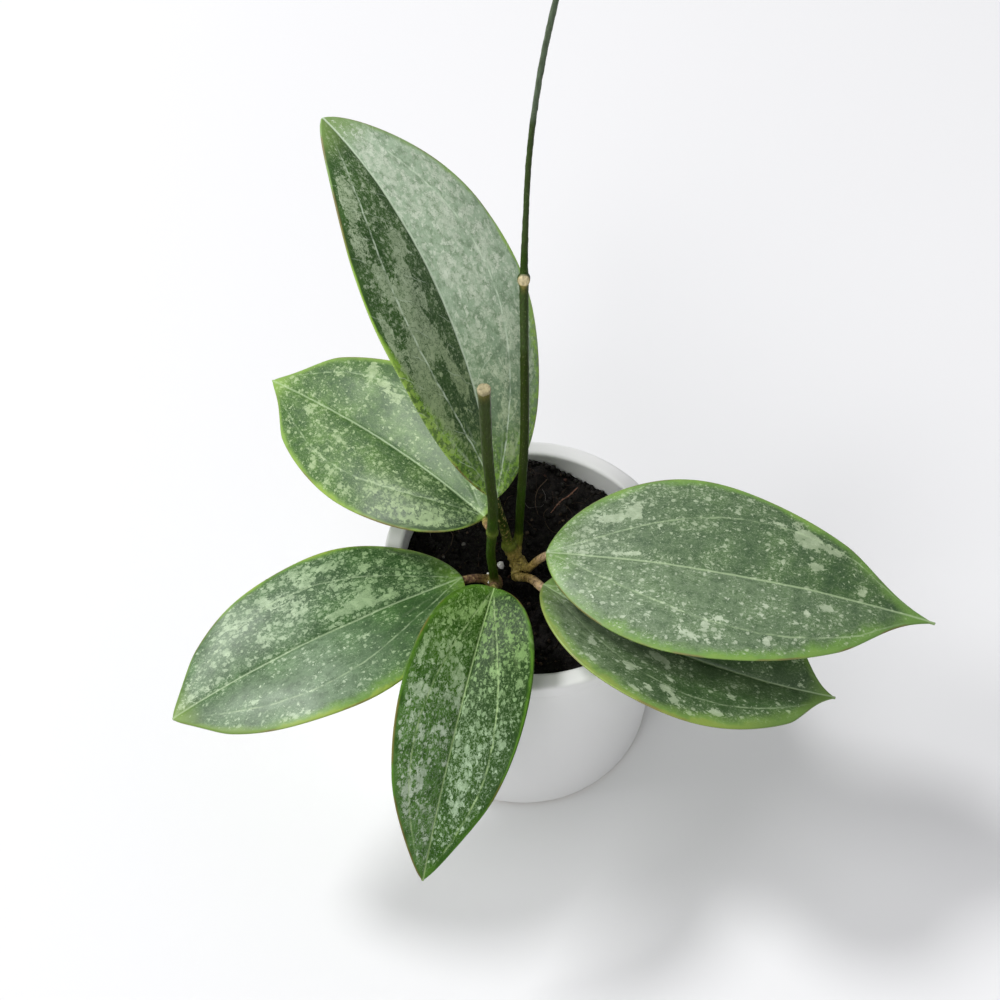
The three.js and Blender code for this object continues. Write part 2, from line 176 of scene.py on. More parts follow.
# Tints of stems, petioles and litter, as they look in plain daylight.
TINTS = {
    "bark": "#33271a", "husk": "#a3924a", "olive": "#6f7d2c", "green": "#284202", "vine": "#273900",
    "dark": "#36491f", "slate": "#56654f", "mauve": "#80604a", "cane": "#5e5a22", "cream": "#f5e6c0",
    "brown": "#9c844a", "lime": "#6f9436", "ring": "#c9ab8a", "milk": "#fffefa", "peat": "#14110e",
    "rust": "#3c221a", "straw": "#57483a", "root": "#33251d", "ash": "#6e6b66", "pinkish": "#7e5a4a",
    "reed": "#30400e",
}

# Blades. Grooves and ribs are (depth, half breadth).
BLADE_THICKNESS = 1.1
EDGE_THICKNESS = 0.8
FOLD_FILLET = 1.3
SMALLEST_HALF_WIDTH = 0.45
MARGIN_WAVE = 0.5
LEFT_WAVE_SHIFT = 2
QUILTING = 0.35
MIDRIB_GROOVE = (0.2, 0.55)
VEIN_GROOVE = (0.1, 0.6)
MIDRIB_RIB = (0.45, 0.9)
VEIN_RIB = (0.12, 0.7)
SIDE_VEIN_REACH = 0.62
SIDE_VEIN_POWER = 1.08
MIDRIB_STEPS = 400
ROW_SPACING = 0.62
HALF_COLUMNS = 34
ROUNDING_COLUMNS = 3
PATCH_SOFTNESS = 1.1
KEEL_SHARE = 0.16
PETIOLE_STEPS = 8
PETIOLE_SIDES = 20
PETIOLE_TINT_POWER = 1.7

# Silver specks, each size as (cells per millimetre, size in cells, strength).
SPECK_SIZES = ((0.42, 0.36, 0.9), (0.8, 0.38, 0.8), (1.35, 0.36, 0.5))

LEAF_NAMES = (
    "leaf_back", "leaf_left_back", "leaf_left_front", "leaf_front", "leaf_right_upper", "leaf_right_lower",
)

# The form of each leaf, in the order of LEAF_NAMES: where the blade starts, the course of its midrib,
# its size, how it turns and cups, its outline and the waves of its margin, and then its petiole.
LEAF_FORMS = {
    "base": (
        (-11.5, 0.5, 115), (-14.5, -1, 107), (-20.5, -10, 87.5),
        (-11, -17.5, 94.5), (4, -7, 98.5), (3.5, -13.5, 91),
    ),
    "heading": (105, 136, 208, 257, -10, -33),
    "rise": (49, 0, 3, -3, 14, -2),
    "droop": (-10, -23, -18, -60, -34, -5),
    "hook": (-13, 8, -8, 13, 4, 0),
    "sway": (41, 7, 1, 0, 4, 28),
    "length": (118.5, 95, 94.5, 88.95, 116, 91.5),
    "left": (25.5, 24.5, 26.5, 19.5, 29.5, 28.5),
    "right": (26.5, 26.5, 27, 20, 28.5, 26.5),
    "roll": (-22, 10, -5, 6, -4, 10),
    "twist": (21, 14, 5, 13, -1, -15),
    "fold": (17, 13, 14, 28, 12, 24),
    "curl": (19, 23, 22, 10, 22, 14),
    "bottom": (0.7, 0.55, 0.6, 0.5, 0.65, 0.65),
    "top": (0.7, 0.75, 0.75, 0.8, 1.05, 0.85),
    "narrowing": (0.2, 0.45, 0.25, 0.2, 0.55, 0.65),
    "tip_start": (0.65, 0.8, 0.85, 0.65, 0.75, 0.85),
    "skew_left": (0.1, 0.1, 0.05, -0.05, -0.05, 0.05),
    "skew_right": (0.05, -0.05, 0.05, 0.05, 0.1, 0.1),
    "waves": (2.6, 2.2, 2.4, 2, 2.3, 2.1),
    "phase": (0.4, 1.7, 3.1, 5, 0.9, 2.5),
    "socket": (
        (-7.2, 2.3, 87.5), (-12.1, -11.4, 115), (-11, -7.4, 83),
        (-10.9, -8, 83), (-3.8, 0.2, 81.8), (-4, 0.3, 80.8),
    ),
    "joint": (
        (-7.6, 2.3, 90.6), (-12.9, -9.2, 113.6), (-13.8, -8.1, 84.6),
        (-11, -11.6, 86.4), (-1.9, -2.4, 83.3), (-4.4, -3.7, 81.6),
    ),
    "radius": (1.5, 1.1, 1.35, 1.3, 1.25, 1.4),
    "petiole": (
        [(-9.2, 1.7, 100.5)], [(-14, -5.3, 110.3)], [(-17, -9.1, 86.4)],
        [(-11, -14.8, 91)], [(0, -4.6, 87.5), (2, -5.8, 93)], [(-2.3, -6.6, 84.2), (0.6, -9.8, 88)],
    ),
    "petiole_tints": (
        ("olive", "green", "green"), ("mauve", "brown", "lime"), ("brown", "mauve", "mauve"),
        ("mauve", "mauve", "olive"), ("husk", "brown", "ring"), ("husk", "brown", "ring"),
    ),
}

# How each blade is coloured, in the order of LEAF_NAMES: its ground from deep to pale, the colour of
# its pale haze with painted sheen, how much of that shows in the darker mottles, its silver, its veins and
# its lime parts.
# Then the seed of its markings, how readily silver islands form, how strongly its patches fill, and how
# plainly cracks, threads, veins and the rungs between them show. Then its gloss, how far the lime
# reaches from the base, and how broken it is. Last come, for each half, the density of its specks, its
# pale tone, partly a real pale haze and partly painted sheen (below zero it is painted shade, a deeper
# green), and the breadth of its lime margin in millimetres, each at the base, the middle and the tip.
LEAF_LOOKS = {
    "deep": ("#254a10", "#234a10", "#1f4410", "#234809", "#2d4a26", "#2e4a22"),
    "pale": ("#4c7230", "#5a7f32", "#426b2e", "#456f18", "#4f6d3a", "#4e6a3c"),
    # The colour of the pale haze with painted sheen, and below, how much of it shows in the darker mottles.
    "haze_sheen": ("#a9c0a2", "#7d9076", "#8ba383", "#628c48", "#7f9473", "#80946f"),
    "haze_sheen_low": (0.6, 0.5, 0.5, 0.3, 0.5, 0.3),
    "silver": ("#c2d2b0", "#adc092", "#b2c8a0", "#c2d6ba", "#b0c09c", "#b8c8a6"),
    "base_silver": ("#a9bd84", "#adc092", "#a2bd88", "#a2c67a", "#a9bd92", "#a9bd92"),
    "vein_hue": ("#d2e4c8", "#b3c99c", "#b3c99c", "#a6c084", "#b3c99c", "#a9be94"),
    "lime_hue": ("#8fbf34", "#86a84a", "#6f9a30", "#5a8a22", "#74a040", "#7aa044"),
    "rim_hue": ("#9cc050", "#93ae48", "#93ac3c", "#4c6f24", "#80a444", "#8fa545"),
    "tip_hue": ("#7c9c50", "#86a84a", "#6f8c34", "#44701e", "#6c9440", "#66863a"),
    "seed": (1, 2, 3, 4, 5, 6),
    "islands": (0.03, 0.01, 0, 0.02, -0.02, -0.02),
    "fill": (0.27, 0.18, 0.17, 0.13, 0.26, 0.27),
    "cracks": (0.8, 0.3, 0.4, 0.4, 0.2, 0.2),
    "threads": (1, 0.9, 0.8, 0.9, 0.9, 0.8),
    "veins": (1, 0.48, 0.48, 0.72, 0.6, 0.6),
    "rungs": (0.3, 0.08, 0.08, 0.08, 0.12, 0.08),
    "gloss": (0.4, 0.4, 0.5, 0.15, 0.5, 0.5),
    "lime_base": (0.2, 0.03, 0.1, 0.05, 0.1, 0.12),
    "lime_gaps": (0.75, 0.2, 0.3, 0.4, 0.2, 0.2),
    "specks_left": (
        (0.9, 0.85, 0.8), (0.9, 0.8, 0.75), (0.5, 0.6, 0.65),
        (0.9, 0.9, 0.8), (0.9, 0.7, 0.55), (0.6, 0.5, 0.45),
    ),
    "specks_right": (
        (0.85, 0.95, 0.85), (0.55, 0.65, 0.8), (0.85, 0.95, 0.8),
        (0.9, 0.9, 0.8), (0.8, 0.65, 0.55), (0.65, 0.6, 0.5),
    ),
    # Each half's pale tone along the blade: above zero a pale haze with painted sheen, below zero painted
    # shade.
    "wash_left": (
        (-0.4, -0.25, 0.1), (-1, 0, 0), (-0.6, 0.42, 0),
        (-1, -0.7, -0.1), (0.5, 0.2, -0.2), (0.2, -0.2, -0.2),
    ),
    "wash_right": (
        (0, 0.85, 1), (0, 0.1, 0), (-0.7, 0.1, 0.2),
        (-0.2, 0.5, 0.7), (0.6, 0.5, 0), (0.8, 0, 0),
    ),
    "lime_left": ((8, 0.6, 0.6), (1, 2.2, 2.4), (4.5, 4, 2.6), (2, 0.8, 0.6), (5, 2.4, 6), (4, 3, 4)),
    "lime_right": ((7, 1, 2.5), (2, 2.4, 3.2), (3, 2, 1.4), (2, 0.6, 0.6), (6, 3.6, 8), (5, 4.6, 6)),
}
LEAVES = {
    name: {key: row[place] for key, row in (LEAF_FORMS | LEAF_LOOKS).items()}
    for place, name in enumerate(LEAF_NAMES)
}

# Silver patches on each blade, each as (along, across, half length, half width, weight, turn):
# millimetres along the midrib and to its right, and degrees. A weight of 1 and a turn of 0 are left out.
PATCHES = {
    "leaf_back": [
        (36, -16, 8, 3.6, 1, -14), (47, -16.5, 7, 3, 0.95, -4), (57, -12.5, 13, 3.6, 1, -4),
        (69, -10, 8, 2.6, 1, 10), (38, -5.6, 9, 1.9, 0.95, -14), (50, -8.4, 7, 2, 0.9, -8),
        (63, -7.4, 5, 1.5, 0.9, 5), (71, -17, 6, 2), (79, -6, 4, 2.4), (47, -22, 7, 1.6, 0.9, -5),
        (57, -23, 7, 1.8, 0.95), (25, -13, 4.5, 1.7, 0.95, -32), (12, 6.5, 2.4, 1.8, 0.9, 20),
        (84, -18, 6, 2.6, 0.8, 12), (96, -13, 8, 2.6, 0.9, 20), (65, 5.5, 6, 3, 0.7),
        (47, 6, 4, 2.2, 0.65), (78, 11, 9, 3.4, 0.6), (56, 11, 7, 3, 0.6), (90, 5, 10, 4.4, 0.6),
        (101, 4.5, 8, 3.6, 0.6, -4), (34, 10, 5, 3, 0.6, 20), (45, 16, 7, 3, 0.65, 10),
        (70, 19, 11, 3.6, 0.6), (88, 17, 8, 3, 0.6, -14), (33, 19, 5, 2, 0.65, 20), (24, 7, 5, 2, 0.7, 20),
    ],
    "leaf_left_back": [
        (21, -15.5, 7, 3, 0.75, -14), (12, -12, 5, 2.8, 0.8, -35), (31, -14, 5, 2.4, 0.65),
        (56, -7.5, 3, 1, 0.95), (60, -15, 3, 1.6, 0.8), (51, -17, 2.4, 1.4, 0.85),
        (43, -19.5, 3, 1.6, 0.85), (52, 14, 7, 1.8, 0.95, 14), (63, 18, 4, 2, 1, 60),
        (73, 12, 3.4, 1.6, 0.8, 20), (78, -10, 2.4, 1.2, 0.8, 20), (58, -19, 2, 1.2, 0.85),
        (50, -21.5, 2, 1.2, 0.85), (35, 2.5, 6, 0.8, 0.6, 2), (68, -3, 2, 1.4, 0.7),
        (74, -2.5, 1.6, 2.4, 0.8), (25, 17, 7, 3, 0.7, 14), (38, 20, 6, 2.4, 0.8, 4),
    ],
    "leaf_left_front": [
        (23, 3, 6.5, 1.2, 1.1, 4), (31, 4.6, 5, 2, 1.15, 6), (37, 4, 4.5, 1.1, 1.1, 2),
        (28.5, 6.8, 2.6, 1.5, 1, 10), (48, 12.5, 2.6, 3.2, 0.85, 20), (52, 16, 5, 2.4, 0.9),
        (43, 18.5, 3.6, 2.6, 0.85), (35, 20, 5, 1.7, 0.9, 4), (56.5, 18, 1.8, 2), (47, 9.6, 2, 1.4, 0.9),
        (45, 22.5, 7, 1.7, 0.95), (34.5, -7.4, 1.9, 1.3), (72.5, 9, 1.6, 1.2, 1, 20),
        (64.5, 13, 1.8, 1.5, 0.8), (25, 15, 2.6, 1.7, 0.9), (20.5, 14, 1.6, 2, 0.9, 20),
        (16.5, 3.6, 2.4, 0.7, 0.95, 20), (86, 2.2, 6, 1, 0.95, -6), (60, 7, 3, 2.8, 0.7, 30),
        (29, 11.2, 4.6, 0.7, 0.95, 8), (71, -10.5, 3, 1, 0.9), (56, -16, 2.6, 1, 0.8),
        (15, 16, 2.4, 1.2, 0.85, 30), (65, 16, 5, 2.4, 0.6), (34, 13.5, 5, 1.6, 0.8, 6),
        (10, -12, 4, 1.4, 0.9, -38), (22, -18, 5, 1.2, 0.9, -24), (60, -21, 5, 2.4, 0.7, 16),
        (17, 9, 1.2, 1.6, 0.9),
    ],
    "leaf_front": [
        (25, -7.4, 2.6, 2, 1, 30), (43.5, -15, 1.9, 1.4), (26.5, -15.3, 1.6, 1.2),
        (20.5, 6.5, 1.5, 2.8, 1, -14), (18, -14, 2.4, 1.6, 0.9, -10), (14, -8.8, 3.4, 1.2, 0.95, -32),
        (12, -4, 4.6, 0.8, 1, -26), (16, -1.6, 4, 0.9, 0.85), (34.5, 14, 2.2, 3.2, 0.95, 10),
        (44, 5.2, 1.6, 2.4, 1, 20), (44.5, 10.4, 2, 1.1, 0.95), (58, 8, 5, 1.6, 0.95),
        (57, -6, 3.4, 1.5, 0.85), (50, -6.5, 3, 1.4, 0.75, 30), (64, -5, 3.4, 2.4, 0.85),
        (35, 1.4, 3.4, 1.2, 0.95), (27.5, 3.6, 2.4, 1.3, 0.9), (24, 16.4, 5, 1.2, 0.9, 10),
        (13, 10, 5, 1.1, 0.9, 42), (10, 4, 4, 0.8, 0.95, 34), (62, 11, 6, 1.6, 0.95, -12),
        (36, -1, 1.8, 1.1, 0.9), (30, -8.6, 1, 3, 0.85, 10), (34, 6, 1.6, 3, 0.8, 10),
        (46, -1.5, 2, 1.2, 0.75), (39, -12, 3, 1, 0.8), (48, -4.6, 1, 2.2, 0.8),
    ],
    "leaf_right_upper": [
        (17.5, -12.6, 4.6, 1.5, 1, -16), (24, -15.6, 2.8, 2.8), (13, -8.2, 2.6, 0.9, 0.95, -20),
        (75.5, -15.6, 5, 3.4, 1, 20), (82.5, -14.2, 4.6, 1.9, 1, 14), (66, -19.2, 4, 0.9, 0.95),
        (71.5, -20, 2, 1.6), (78, -7.4, 2.6, 1.5, 1, 20), (81.8, 5, 2.8, 1.5), (76.5, 8.6, 1.3, 1.5),
        (24, -1.9, 6, 0.8, 1, -2), (14, -1.2, 5, 0.5, 0.9, -2), (48.5, 18.4, 1.4, 2.6),
        (66, 19.8, 1.6, 1.6), (52, 15.8, 2.6, 0.8), (53, 20.6, 1, 2, 1, 20), (46, 22.2, 3.6, 1, 0.95, 4),
        (41, 15.8, 2.4, 1, 0.85, 12), (92.6, -3, 1.1, 1.3), (68.5, -6.6, 0.8, 1.2),
        (43, -10.4, 1.2, 0.9, 0.9), (54, -20.6, 1, 1.8, 0.9), (64.5, 9, 1.1, 0.9),
        (73.4, 12.4, 1.4, 1, 0.9), (33, 18, 1.2, 1.6, 0.85), (25, -19, 5, 1.2, 0.7, -8),
        (32, -12.6, 4, 0.6, 0.8, -12),
    ],
    "leaf_right_lower": [
        (39.5, 6, 3.6, 1.9, 1, 18), (42.6, 7.8, 1.6, 0.9, 0.95, 20), (22, 12.8, 1.6, 1.5),
        (33.6, 15, 2.4, 1.8, 1, 20), (44.5, 18, 3, 1.7, 1, 20), (47.5, 20.6, 3.4, 1.4, 1, 44),
        (51.8, 22.6, 1.2, 1.2), (45, 13.2, 1.5, 1, 0.95), (58.8, 18.8, 2.2, 1.5, 1, -20),
        (61.6, 11, 1.3, 1), (61.4, 7, 0.9, 1.6), (68.6, 6, 0.8, 1.7, 0.95), (80.5, -2.2, 1.3, 1.2, 0.95),
        (46.4, 4, 0.9, 1.6, 0.95), (40, 20, 2, 1.4, 0.9, 30), (37, 22.5, 2, 1, 0.9, 30),
        (30, -12, 4, 2, 0.95, -10), (52, -16, 3, 1.6, 0.95), (22, -15, 3, 1.4, 0.9, -20),
        (64, -8, 2, 1.4, 0.95), (44, -21, 3, 1.6, 0.9), (40, -6, 2, 1.2, 0.9), (24, 19, 2, 1, 0.85, 30),
    ],
}


# Small helpers

def linear(hexcode):
    """A colour as the shader wants it, from the colour as it looks."""
    values = [int(hexcode[place:place + 2], 16) / 255 for place in (1, 3, 5)]
    return tuple(v / 12.92 if v <= 0.04045 else ((v + 0.055) / 1.055) ** 2.4 for v in values) + (1,)


def smoothstep(low, high, value):
    share = np.clip((value - low) / (high - low), 0, 1)
    return share * share * (3 - 2 * share)


def noise_at(*place):
    return noise.noise(Vector(place))


def polar(radius, turn):
    return radius * math.cos(turn), radius * math.sin(turn)


def link(piece):
    bpy.context.scene.collection.objects.link(piece)
    return piece


def dress(mesh, materials):
    """Gives a mesh its materials and smooth shading."""
    for material in materials:
        mesh.materials.append(material)
    mesh.polygons.foreach_set("use_smooth", [True] * len(mesh.polygons))


def mesh_piece(name, vertices, faces, materials=(), slots=None):
    """A smooth mesh object from vertices in millimetres."""
    mesh = bpy.data.meshes.new(name)
    mesh.from_pydata((np.asarray(vertices, float) * MM).tolist(), [], faces)
    dress(mesh, materials)
    if slots is not None:
        mesh.polygons.foreach_set("material_index", slots)
    mesh.update()
    return link(bpy.data.objects.new(name, mesh))


def read_rows(piece, key):
    rows = np.empty(len(piece.data.vertices) * 3)
    piece.data.vertices.foreach_get(key, rows)
    return rows.reshape(-1, 3)


def write_rows(piece, name, rows):
    """Stores a vector of three, or a colour of four, at each vertex."""
    rows = np.asarray(rows, np.float32)
    kind, field = ("FLOAT_COLOR", "color") if rows.shape[1] == 4 else ("FLOAT_VECTOR", "vector")
    piece.data.attributes.new(name, kind, "POINT").data.foreach_set(field, rows.ravel())


def settle(piece, node=None):
    """Fixes a piece to the model, and hides the CAD part that it replaces."""
    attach(piece, "root")
    if node:
        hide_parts(node)


# Node trees

def operator(operation):
    """A method that adds a math node to the value's tree."""
    return lambda value, *others: value.nodes.math(operation, value, *others)


class Value:
    """One output of a node. Each operator or method adds a node that works on it."""

    def __init__(self, nodes, socket):
        self.nodes = nodes
        self.socket = socket

    __add__ = operator("ADD")
    __sub__ = operator("SUBTRACT")
    __mul__ = operator("MULTIPLY")
    __pow__ = operator("POWER")
    __abs__ = operator("ABSOLUTE")
    at_least = operator("MAXIMUM")

    def __rsub__(self, other):
        return self.nodes.math("SUBTRACT", other, self)

    def step(self, low, high, bottom=0, top=1):
        """Goes smoothly from bottom to top as the value goes from low to high."""
        inputs = {"Value": self, "From Min": low, "From Max": high, "To Min": bottom, "To Max": top}
        return self.nodes.node("MapRange", "Result", inputs, interpolation_type="SMOOTHSTEP")

    def other(self, output):
        """Another output of the same node."""
        return Value(self.nodes, self.socket.node.outputs[output])

    def parts(self):
        """The three parts of a vector."""
        split = self.nodes.node("SeparateXYZ", "X", {"Vector": self})
        return [split, split.other("Y"), split.other("Z")]


class Nodes:
    """A node tree that grows by one node with each call."""

    def __init__(self, tree):
        self.tree = tree

    def put(self, value, socket):
        """Links a value to an input, or sets the input to a number, a vector or a colour."""
        if isinstance(value, Value):
            self.tree.links.new(value.socket, socket)
        else:
            socket.default_value = linear(value) if isinstance(value, str) else value

    def node(self, kind, output, inputs, **settings):
        """An output of a new node with these inputs and settings."""
        made = self.tree.nodes.new("ShaderNode" + kind)
        for key, value in settings.items():
            setattr(made, key, value)
        for key, value in inputs.items():
            self.put(value, made.inputs[key])
        return Value(self, made.outputs[output])

    def math(self, operation, *values):
        return self.node("Math", 0, dict(enumerate(values)), operation=operation)

    def vector(self, operation, *values):
        return self.node("VectorMath", 0, dict(enumerate(values)), operation=operation)

    def coordinates(self, kind="Object"):
        return self.node("TexCoord", kind, {})

    def attribute(self, name, output="Vector"):
        return self.node("Attribute", output, {}, attribute_name=name)

    def noise(self, vector, scale, detail=2, roughness=0.5):
        inputs = {"Vector": vector, "Scale": scale, "Detail": detail, "Roughness": roughness}
        return self.node("TexNoise", "Fac", inputs)

    def cells(self, vector, scale):
        """Distance to the nearest of scattered points, and a random share for that point."""
        inputs = {"Vector": vector, "Scale": scale}
        distance = self.node("TexVoronoi", "Distance", inputs, voronoi_dimensions="2D")
        return distance, distance.other("Color").parts()[0]

    def mix(self, share, first, second):
        """A colour between two. The node's own colour inputs are the seventh and the eighth."""
        return self.node("Mix", 2, {0: share, 6: first, 7: second}, data_type="RGBA", clamp_factor=True)

    def layers(self, colour, *coats):
        """A colour under coats, each as (how far it covers, its colour)."""
        for share, coat in coats:
            colour = self.mix(share, colour, coat)
        return colour


class Shading(Nodes):
    """One material, built node by node around its principled shader."""

    def __init__(self, name):
        self.material = bpy.data.materials.new(name)
        self.material.use_nodes = True
        super().__init__(self.material.node_tree)

    def surface(self, colour, rough, shine=0.5, relief=None):
        """The finished material. Its relief is (height, strength, distance)."""
        inputs = {"Base Color": colour, "Roughness": rough, "Specular IOR Level": shine}
        if relief:
            height, strength, distance = relief
            bumps = {"Height": height, "Strength": strength, "Distance": distance}
            inputs["Normal"] = self.node("Bump", "Normal", bumps)
        shader = self.tree.nodes["Principled BSDF"]
        for key, value in inputs.items():
            self.put(value, shader.inputs[key])
        return self.material


# Camera, light and floor

def make_camera():
    data = bpy.data.cameras.new("camera")
    data.lens = CAMERA_LENS
    data.sensor_width = CAMERA_SENSOR
    data.clip_start = CAMERA_NEAREST * MM
    back = Vector((0, -math.cos(CAMERA_PITCH), math.sin(CAMERA_PITCH)))
    level = Vector((1, 0, 0))
    rising = Vector((0, math.sin(CAMERA_PITCH), math.cos(CAMERA_PITCH)))
    right = level * math.cos(CAMERA_ROLL) + rising * math.sin(CAMERA_ROLL)
    up = rising * math.cos(CAMERA_ROLL) - level * math.sin(CAMERA_ROLL)
    turn = Matrix((right, up, back)).transposed().to_4x4()
    camera = link(bpy.data.objects.new("camera", data))
    camera.matrix_world = Matrix.Translation((CAMERA_AIM + back * CAMERA_DISTANCE) * MM) @ turn
    bpy.context.scene.camera = camera


def make_light():
    world = bpy.data.worlds.new("studio")
    world.use_nodes = True
    sky = Nodes(world.node_tree)
    towards_back = sky.coordinates("Generated").parts()[1]
    grey = sky.mix(towards_back.step(*STUDIO_BLEND), STUDIO_FRONT, STUDIO_BACK)
    sky.put(grey, world.node_tree.nodes["Background"].inputs["Color"])
    bpy.context.scene.world = world
    for name, (compass, height, distance, size, power) in LAMPS.items():
        data = bpy.data.lights.new(name, "AREA")
        data.shape = "DISK"
        data.size = size * MM
        data.energy = power
        compass, height = math.radians(compass), math.radians(height)
        toward = Vector((*polar(math.cos(height), compass), math.sin(height)))
        lamp = link(bpy.data.objects.new(name, data))
        lamp.location = toward * distance * MM
        lamp.rotation_euler = toward.to_track_quat("Z", "Y").to_euler()


def make_floor():
    skin = Shading("floor_paper")
    grain = skin.noise(skin.coordinates(), 3.0, 3.0)
    paper = skin.surface(colour=skin.mix(grain, *FLOOR_TONES), rough=0.9)
    rim = [(FLOOR_RADIUS * x, FLOOR_RADIUS * y, 0) for x, y in circle(FLOOR_SIDES)]
    mesh_piece("studio_floor", rim, [tuple(range(FLOOR_SIDES))], [paper])


# Meshes from rings of vertices

def circle(sides):
    """Directions evenly around a circle."""
    return [polar(1, 2 * math.pi * side / sides) for side in range(sides)]


def ring_faces(rings, sides):
    """The faces between rings of vertices that follow one another."""
    faces = []
    for low in range(0, (rings - 1) * sides, sides):
        high = low + sides
        for side in range(sides):
            after = (side + 1) % sides
            faces.append((low + side, low + after, high + after, high + side))
    return faces


def end_faces(count, sides):
    """The flat faces over the first and the last ring of so many vertices."""
    return [tuple(range(sides))[::-1], tuple(range(count - sides, count))]


def closed_body(rings, first_middle, last_middle):
    """A body from rings of vertices and the middle points that close its two ends."""
    sides = len(rings[0])
    vertices = [place for ring in rings for place in ring]
    middle = len(vertices)
    faces = ring_faces(len(rings), sides)
    for side in range(sides):
        after = (side + 1) % sides
        faces.append((middle, after, side))
        faces.append((middle + 1, middle - sides + side, middle - sides + after))
    return vertices + [first_middle, last_middle], faces


def curve(stations, per_span):
    """Places, radii and station numbers along the centripetal curve through the stations."""
    places = [Vector(station[:3]) for station in stations]
    places = [2 * places[0] - places[1]] + places + [2 * places[-1] - places[-2]]
    samples = []
    spans = len(stations) - 1
    for span in range(spans):
        a, b, c, d = places[span:span + 4]
        before, inside, after = (math.sqrt((q - p).length) for p, q in ((a, b), (b, c), (c, d)))
        leave = ((b - a) / before - (c - a) / (before + inside) + (c - b) / inside) * inside
        arrive = ((c - b) / inside - (d - b) / (inside + after) + (d - c) / after) * inside
        for step in range(per_span + (span == spans - 1)):
            t = step / per_span
            place = (b + leave * t + (3 * (c - b) - 2 * leave - arrive) * t ** 2
                     + (2 * (b - c) + leave + arrive) * t ** 3)
            radius = stations[span][3] * (1 - t) + stations[span + 1][3] * t
            samples.append((place, radius, span + t))
    return samples


def tube(stations, per_span=6, sides=16):
    """A closed round tube through the stations."""
    samples = curve(stations, per_span)
    vertices = []
    across = Vector((1, 0, 0))
    for row, (place, radius, _) in enumerate(samples):
        ahead = samples[min(row + 1, len(samples) - 1)][0]
        behind = samples[max(row - 1, 0)][0]
        along = (ahead - behind).normalized()
        across = (across - along * across.dot(along)).normalized()
        up = along.cross(across)
        vertices += [place + radius * (across * x + up * y) for x, y in circle(sides)]
    return vertices, end_faces(len(vertices), sides) + ring_faces(len(samples), sides)


def ball(centre, radius, height, rings=10, sides=16):
    """A ball, or an egg of another half height."""
    centre, pole = Vector(centre), Vector((0, 0, height))
    levels = []
    for ring in range(1, rings):
        rise = math.pi * ring / rings - math.pi / 2
        out = radius * math.cos(rise)
        level = height * math.sin(rise)
        levels.append([centre + Vector((out * x, out * y, level)) for x, y in circle(sides)])
    return closed_body(levels, centre - pole, centre + pole)


def gather(parts):
    """Several meshes as one list of vertices and faces."""
    vertices, faces = [], []
    for some_vertices, some_faces in parts:
        start = len(vertices)
        vertices += some_vertices
        faces += [tuple(start + corner for corner in face) for face in some_faces]
    return vertices, faces


# Pot

def bend(start, corner, end, steps=8):
    """Points of a quadratic curve, without its start."""
    points = []
    for step in range(1, steps + 1):
        share = step / steps
        weights = ((1 - share) ** 2, 2 * share * (1 - share), share * share)
        points.append(tuple(sum(w * p[axis] for w, p in zip(weights, (start, corner, end)))
                            for axis in (0, 1)))
    return points


def pot_outline():
    """Radius and height, from the foot up the outside and down the inside."""
    lip_bottom = POT_HEIGHT - LIP_HEIGHT
    inner_rim = RIM_RADIUS - LIP_WIDTH
    outline = [(FOOT_RADIUS - FOOT_ROUND, 0)]
    outline += bend(outline[-1], (FOOT_RADIUS, 0), (FOOT_RADIUS, FOOT_ROUND))
    outline += [(BODY_RADIUS, lip_bottom - NECK_HEIGHT)]
    outline += bend(outline[-1], (BODY_RADIUS, lip_bottom - NECK_HEIGHT / 2), (NECK_RADIUS, lip_bottom - 1))
    outline += bend(outline[-1], (RIM_RADIUS, lip_bottom - 0.5), (RIM_RADIUS, lip_bottom + LIP_SHOULDER))
    outline += [(RIM_RADIUS, POT_HEIGHT - LIP_ROUND)]
    outline += bend(outline[-1], (RIM_RADIUS, POT_HEIGHT), (RIM_RADIUS - LIP_ROUND, POT_HEIGHT))
    outline += [(inner_rim + LIP_ROUND, POT_HEIGHT)]
    outline += bend(outline[-1], (inner_rim, POT_HEIGHT), (inner_rim, POT_HEIGHT - LIP_ROUND))
    outline += [(INNER_FLOOR_RADIUS, FLOOR_THICKNESS)]
    return outline


def glaze():
    """White glaze with a faint orange peel, and the bare clay at the foot."""
    skin = Shading("white_glaze")
    place = skin.coordinates()
    cloud = skin.noise(place, 22, 3)
    above_foot = place.parts()[2].step(0.0006, 0.0016)
    return skin.surface(
        colour=skin.mix(above_foot, "#cfc6b8", skin.mix(cloud, *GLAZE_TONES)),
        rough=cloud.step(0.2, 0.8, 0.32, 0.42),
        relief=(skin.noise(place, 350), 0.12, 0.0002),
    )


def make_pot():
    outline = pot_outline()
    around = circle(POT_SEGMENTS)
    rings = [[(radius * x, radius * y, height) for x, y in around] for radius, height in outline]
    body = closed_body(rings, (0, 0, outline[0][1]), (0, 0, outline[-1][1]))
    settle(mesh_piece("glazed_pot", *body, [glaze()]), "pot")


# Soil

def soil_lumps(x, y):
    """The CAD model's lumps, with clods and crumbs on top of them and a mound at the back."""
    broad = (0.5 * math.sin(0.33 * x + 1) * math.cos(0.37 * y) + 0.3 * math.sin(0.8 * x - 0.6 * y + 2)
             + 0.2 * math.cos(0.5 * x + 1.1 * y))
    clods = 0.9 * noise_at(x * 0.32, y * 0.32, 3)
    crumbs = 1.05 * noise_at(x * 0.85, y * 0.85, 9)
    grit = 0.35 * noise_at(x * 2.1, y * 2.1, 5)
    mound = BACK_MOUND * math.exp(-((x + 2) / 12) ** 2 - ((y - 38) / 10) ** 2)
    return SOIL_LEVEL + broad + clods + crumbs + grit + mound


def on_soil(x, y, above=0.0):
    return (x, y, soil_lumps(x, y) + above)


